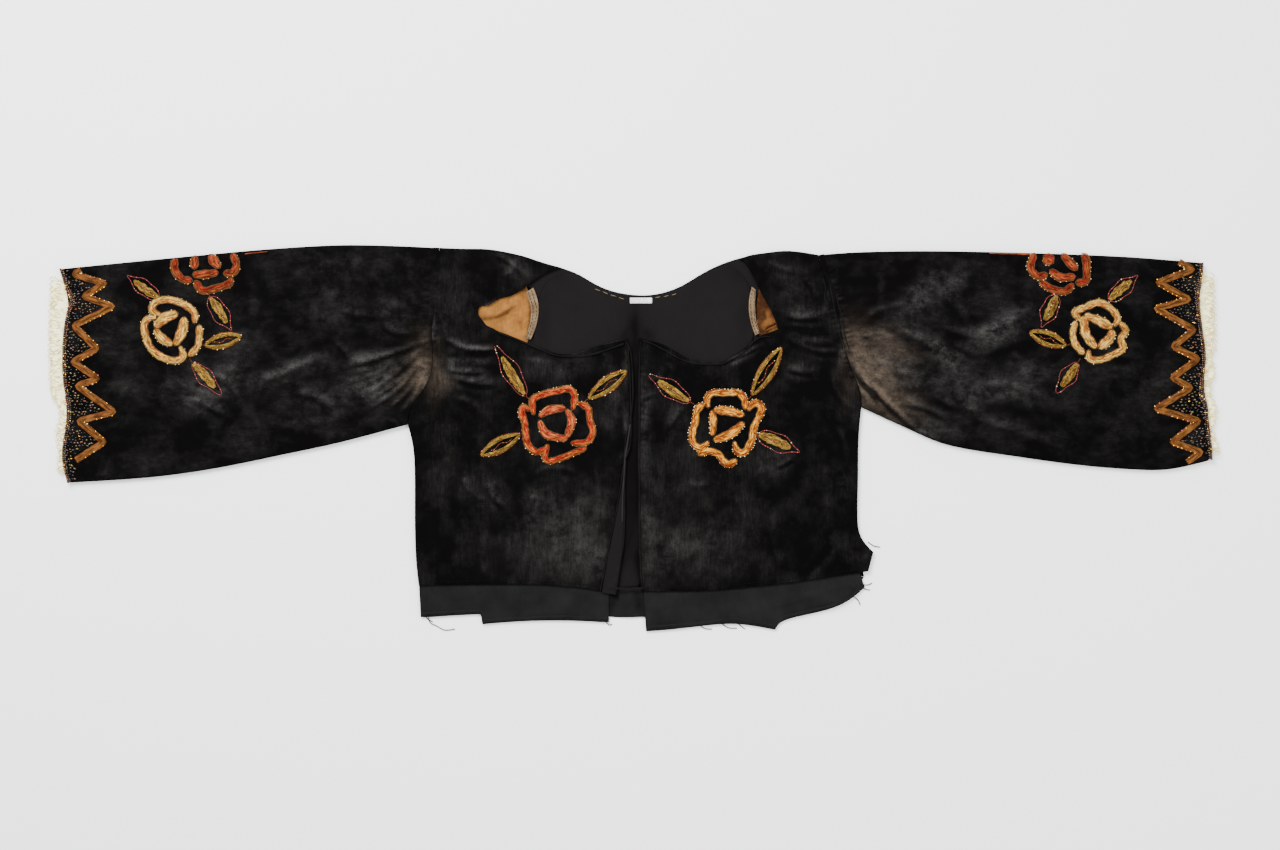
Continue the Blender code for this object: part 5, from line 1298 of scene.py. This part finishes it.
# edges: thin rolls along free edges, seam ridges, slivers of the fold roses, and the bands' bound edge
edges = [  # name, paint, radius, lift and points
    ("facingRight", "edgeVelvet", 0.7, -0.35, [(-8, 92), (-6, 60), (-5, 20), (-6, -6), (-12, -26), (-15.6, -50),
     (-21, -80), (-27.5, -110), (-32, -134), (-35.6, -153)]),
    ("edgeRight", "edgeVelvet", 0.8, -0.7, [(-9.5, 96), (-5, 84), (-3.4, 60), (-3.4, 36), (-7.2, 12), (-11.2, -10),
     (-12.2, -70), (-13.4, -106), (-16.4, -130), (-20.4, -156)]),
    # this ridge is painted lighter, as a highlight along the facing
    ("facingRidge", "ridgeVelvet", 0.9, -0.5, [(-5.6, 14), (-8.4, -4), (-10.8, -20), (-12.2, -42), (-13.4, -62),
     (-13.6, -84)]),
    ("edgeLeft", "edgeVelvet", 0.7, -0.6, [(4.5, 96), (3.4, 70), (3.4, 20), (3.4, -60), (4.4, -120), (6.2, -150)]),
    ("neckEdgeRight", "edgeVelvet", 0.8, -0.7, [(-138, 105.5), (-122, 99.8), (-105, 92.6), (-80, 82.6), (-63, 81.6),
     (-47, 82.6), (-30, 87.6), (-12, 94)]),
    ("neckEdgeLeft", "edgeVelvet", 0.8, -0.7, [(134, 100.8), (125, 100.6), (116.5, 95.6), (107.6, 85.6), (90, 75.6),
     (77, 73.6), (57, 74.6), (42.4, 79.6), (28.4, 87.6), (14.4, 94.6), (6, 97)]),
    ("seamRidgeA", "edgeVelvet", 0.5, -0.3, [(186, 160), (188.6, 150), (188, 138), (191.6, 127)]),
    ("seamRidgeB", "edgeVelvet", 0.6, -0.35, [(193, 154), (195.6, 140), (198, 128), (200, 114), (203.6, 100),
     (206, 88)]),
    ("seamRidgeC", "edgeVelvet", 0.5, -0.3, [(199.6, 144), (202, 131), (206.6, 117), (208, 103), (212.6, 88)]),
    ("foldSliverRight", "roseFoldBud", 0.5, -0.4, [(-390, 183.4), (-380, 184.6), (-367, 185.8)]),
    ("foldSliverLeft", "roseFoldBud", 0.6, -0.4, [(352, 184.2), (372, 183.8), (394, 182.8)]),
    ("gapSeam", "lining", 1.0, -0.8, [(-27, -149.8), (-10, -150), (8, -149.8)]),
    ("boundRight", "greyRoll", 0.5, -0.6, [(-152, -181.5), (-106, -178.2), (-66, -177.4), (-29, -179.4)]),
    ("boundRightSide", "greyRoll", 0.5, -0.6, [(-214, -174.6), (-180, -172.6), (-156, -171.6)]),
    ("boundLeft", "greyRoll", 0.5, -0.6, [(12, -188.2), (60, -184), (94, -180), (118, -183), (137, -186.5)]),
    ("boundLeftSide", "greyRoll", 0.5, -0.6, [(145, -177.6), (173, -171.6), (206, -163.6), (222, -151)]),
    # a dark line painted as the shadow in the tan lining's fold
    ("tanFoldLine", "tanFold", 0.9, -0.8, [(128.6, 107.6), (132, 110.4), (136, 112), (140.4, 114.8)]),
]


def buildEdge(name, paint, thick, lift, points, seed):
    path = smoothCurve(points, 2)
    radius = thick * mm
    widths = [radius * (1 + 0.5 * noise.noise(Vector((k * 0.23, seed, 0)))) for k in range(len(path))]
    widths[0] = widths[-1] = radius * 0.4
    bm = bmesh.new()
    sweepStrip(bm, path, widths, cordSection, radius, lift * mm)
    return finishPiece(name, bm, [paint])


for seed, row in enumerate(edges):
    buildEdge(*row, seed + 3.5)

# flat strips of velvet: the turned facing beside the opening, and the pile that closes over the armhole seam
strips = [
    {"name": "facingStrip", "paint": "facingVelvet", "height": 0.35, "lift": 0.05,
     "points": [(-10.4, -22), (-12.2, -44), (-15.0, -76), (-18.6, -106), (-23, -131), (-27.2, -155)],
     "halfWidths": (0.5, 1.6, 4.2, 6.4, 6.8, 7.0)},
    {"name": "seamPileRight", "paint": "sleeveVelvet", "height": 0.14, "lift": 0.02,
     "points": [(-196.6, 187), (-198, 168), (-200, 150), (-202, 132), (-203.4, 112)],
     "halfWidths": (2.4, 2.6, 2.6, 2.4, 0.6)},
    {"name": "seamPileLeft", "paint": "bodyVelvet", "height": 0.14, "lift": 0.02,
     "points": [(185, 183), (189, 168), (194.5, 150), (199, 134), (203, 118)],
     "halfWidths": (2.4, 2.6, 2.6, 2.4, 0.6)},
]
stripSection = [(1, 0), (0.9, 0.7), (0.5, 1), (0, 1), (-0.5, 1), (-0.9, 0.7), (-1, 0), (1, 0)]


def buildStrip(row):
    path = smoothCurve(row["points"], 2)
    marks = np.linspace(0, 1, len(row["halfWidths"]))
    widths = np.interp(np.linspace(0, 1, len(path)), marks, row["halfWidths"]) * mm
    bm = bmesh.new()
    sweepStrip(bm, path, [float(w) for w in widths], stripSection, row["height"] * mm, row["lift"] * mm)
    return finishPiece(row["name"], bm, [row["paint"]])


for row in strips:
    buildStrip(row)
print("edges made")

# sewing of hem, tapes and neck
sewing = [  # name, paint, slot, stitch length, gap, radius and points
    ("neckBastingRight", "paleThread", "lining", 5.2, 2.8, 0.24, [(-42, 149), (-30, 144.6), (-18, 140.4),
     (-9, 137.6)]),
    ("neckBastingLeft", "paleThread", "lining", 4.6, 3, 0.24, [(18, 140), (30, 141.5), (44, 144.5)]),
    ("tapeStitchesRight", "greyThread", "tape", 2.6, 0.9, 0.42, [(-104.5, 148), (-101.5, 138), (-99, 127),
     (-101.5, 113), (-106.5, 100)]),
    ("tapeStitchesRightOuter", "greyThread", "tape", 2.6, 0.9, 0.42, [(-108, 146), (-105, 138), (-102.6, 127),
     (-104.4, 114), (-109, 101)]),
    ("tapeStitchesLeft", "greyThread", "tape", 2.6, 0.9, 0.42, [(116.6, 149), (114.6, 139), (114.2, 128), (116, 115),
     (120, 104)]),
    ("tapeStitchesLeftOuter", "greyThread", "tape", 2.6, 0.9, 0.42, [(118.6, 148), (117.6, 138), (117.6, 127),
     (119, 115), (122.4, 105)]),
    ("hemStitchesRight", "hemThread", "velvet", 2.6, 1.8, 0.28, [(-212, -144), (-160, -142.5), (-108, -142),
     (-60, -145), (-30, -149)]),
    ("hemStitchesLeft", "hemThread", "velvet", 2.6, 1.8, 0.28, [(9, -149), (75, -148), (148, -141), (199, -134),
     (226, -130)]),
]


def buildSewing(name, paint, slot, stitch, gap, thick, points, rng):
    radius = thick * mm
    bm = bmesh.new()
    for spot, way in evenPoints(smoothCurve(points, 1), (stitch + gap) * mm, rng, 0.12):
        half = way * stitch / 2 * mm
        lean = Vector((-way.y, way.x)) * rng.uniform(-0.25, 0.25) * mm
        line = [spot - half + lean, spot, spot + half - lean]
        sweepStrip(bm, line, [radius * 0.6, radius, radius * 0.6], cordSection, radius, -0.1 * mm)
    return finishPiece(name, bm, [paint])


rng = random.Random(5)
for row in sewing:
    buildSewing(*row, rng)

# threads that hang loose from the cut edges, down to the table
looseThreads = {"radius": 0.46, "rest": 0.4, "fall": 2.2, "lines": [
    [(-207, -176), (-206, -184), (-199, -188), (-191, -192), (-181, -191)],
    [(-211, -172), (-209, -180), (-203, -184)], [(232, -104), (238, -108), (244, -109)],
    [(224, -148), (229, -151), (234, -152)], [(64, -187), (69, -190.5), (76, -191)],
    [(84, -184), (92, -189.5), (101, -190)], [(100, -184), (105, -188), (109, -191)],
    [(-30, -183), (-27, -187), (-24, -186)], [(224, -146), (231, -147), (236, -145)],
    [(217, -158), (222, -162), (224, -167)]]}


def buildLooseThreads():
    bm = bmesh.new()
    rest, fall = looseThreads["rest"] * mm, looseThreads["fall"]
    for line in looseThreads["lines"]:
        path = smoothCurve(line, 1.5)
        start = topOf(path[0])
        start = rest if start is None else start
        levels = [max(start * (1 - k / (len(path) - 1) * fall), rest) for k in range(len(path))]
        for part, level, after in zip(zip(path, path[1:]), levels, levels[1:]):
            addCord(bm, list(part), looseThreads["radius"], threadSection, base=(level + after) / 2)
    return finishPiece("looseThreads", bm, ["darkThread"])


buildLooseThreads()
print("sewing made")


# table, light and camera
def addTable():
    bm = bmesh.new()
    bmesh.ops.create_grid(bm, x_segments=2, y_segments=2, size=12)
    mesh = bpy.data.meshes.new("table")
    bm.to_mesh(mesh)
    bm.free()
    material = newMaterial("paleTable", Roughness=0.9, Base_Color=studio["table"], Specular_IOR_Level=0.1)[0]
    mesh.materials.append(material)
    table = bpy.data.objects.new("table", mesh)
    table.location.z = -0.0002
    bpy.context.scene.collection.objects.link(table)


addTable()
addLight("keyLight", studio["keyPlace"], studio["keySize"], studio["keyPower"])
addLight("fillLight", studio["fillPlace"], studio["fillSize"], studio["fillPower"])
world = bpy.data.worlds.new("studioWorld")
world.use_nodes = True
for key, value in (("Color", studio["world"]), ("Strength", studio["worldStrength"])):
    feed(world.node_tree, world.node_tree.nodes["Background"].inputs[key], value)
bpy.context.scene.world = world
addCamera()
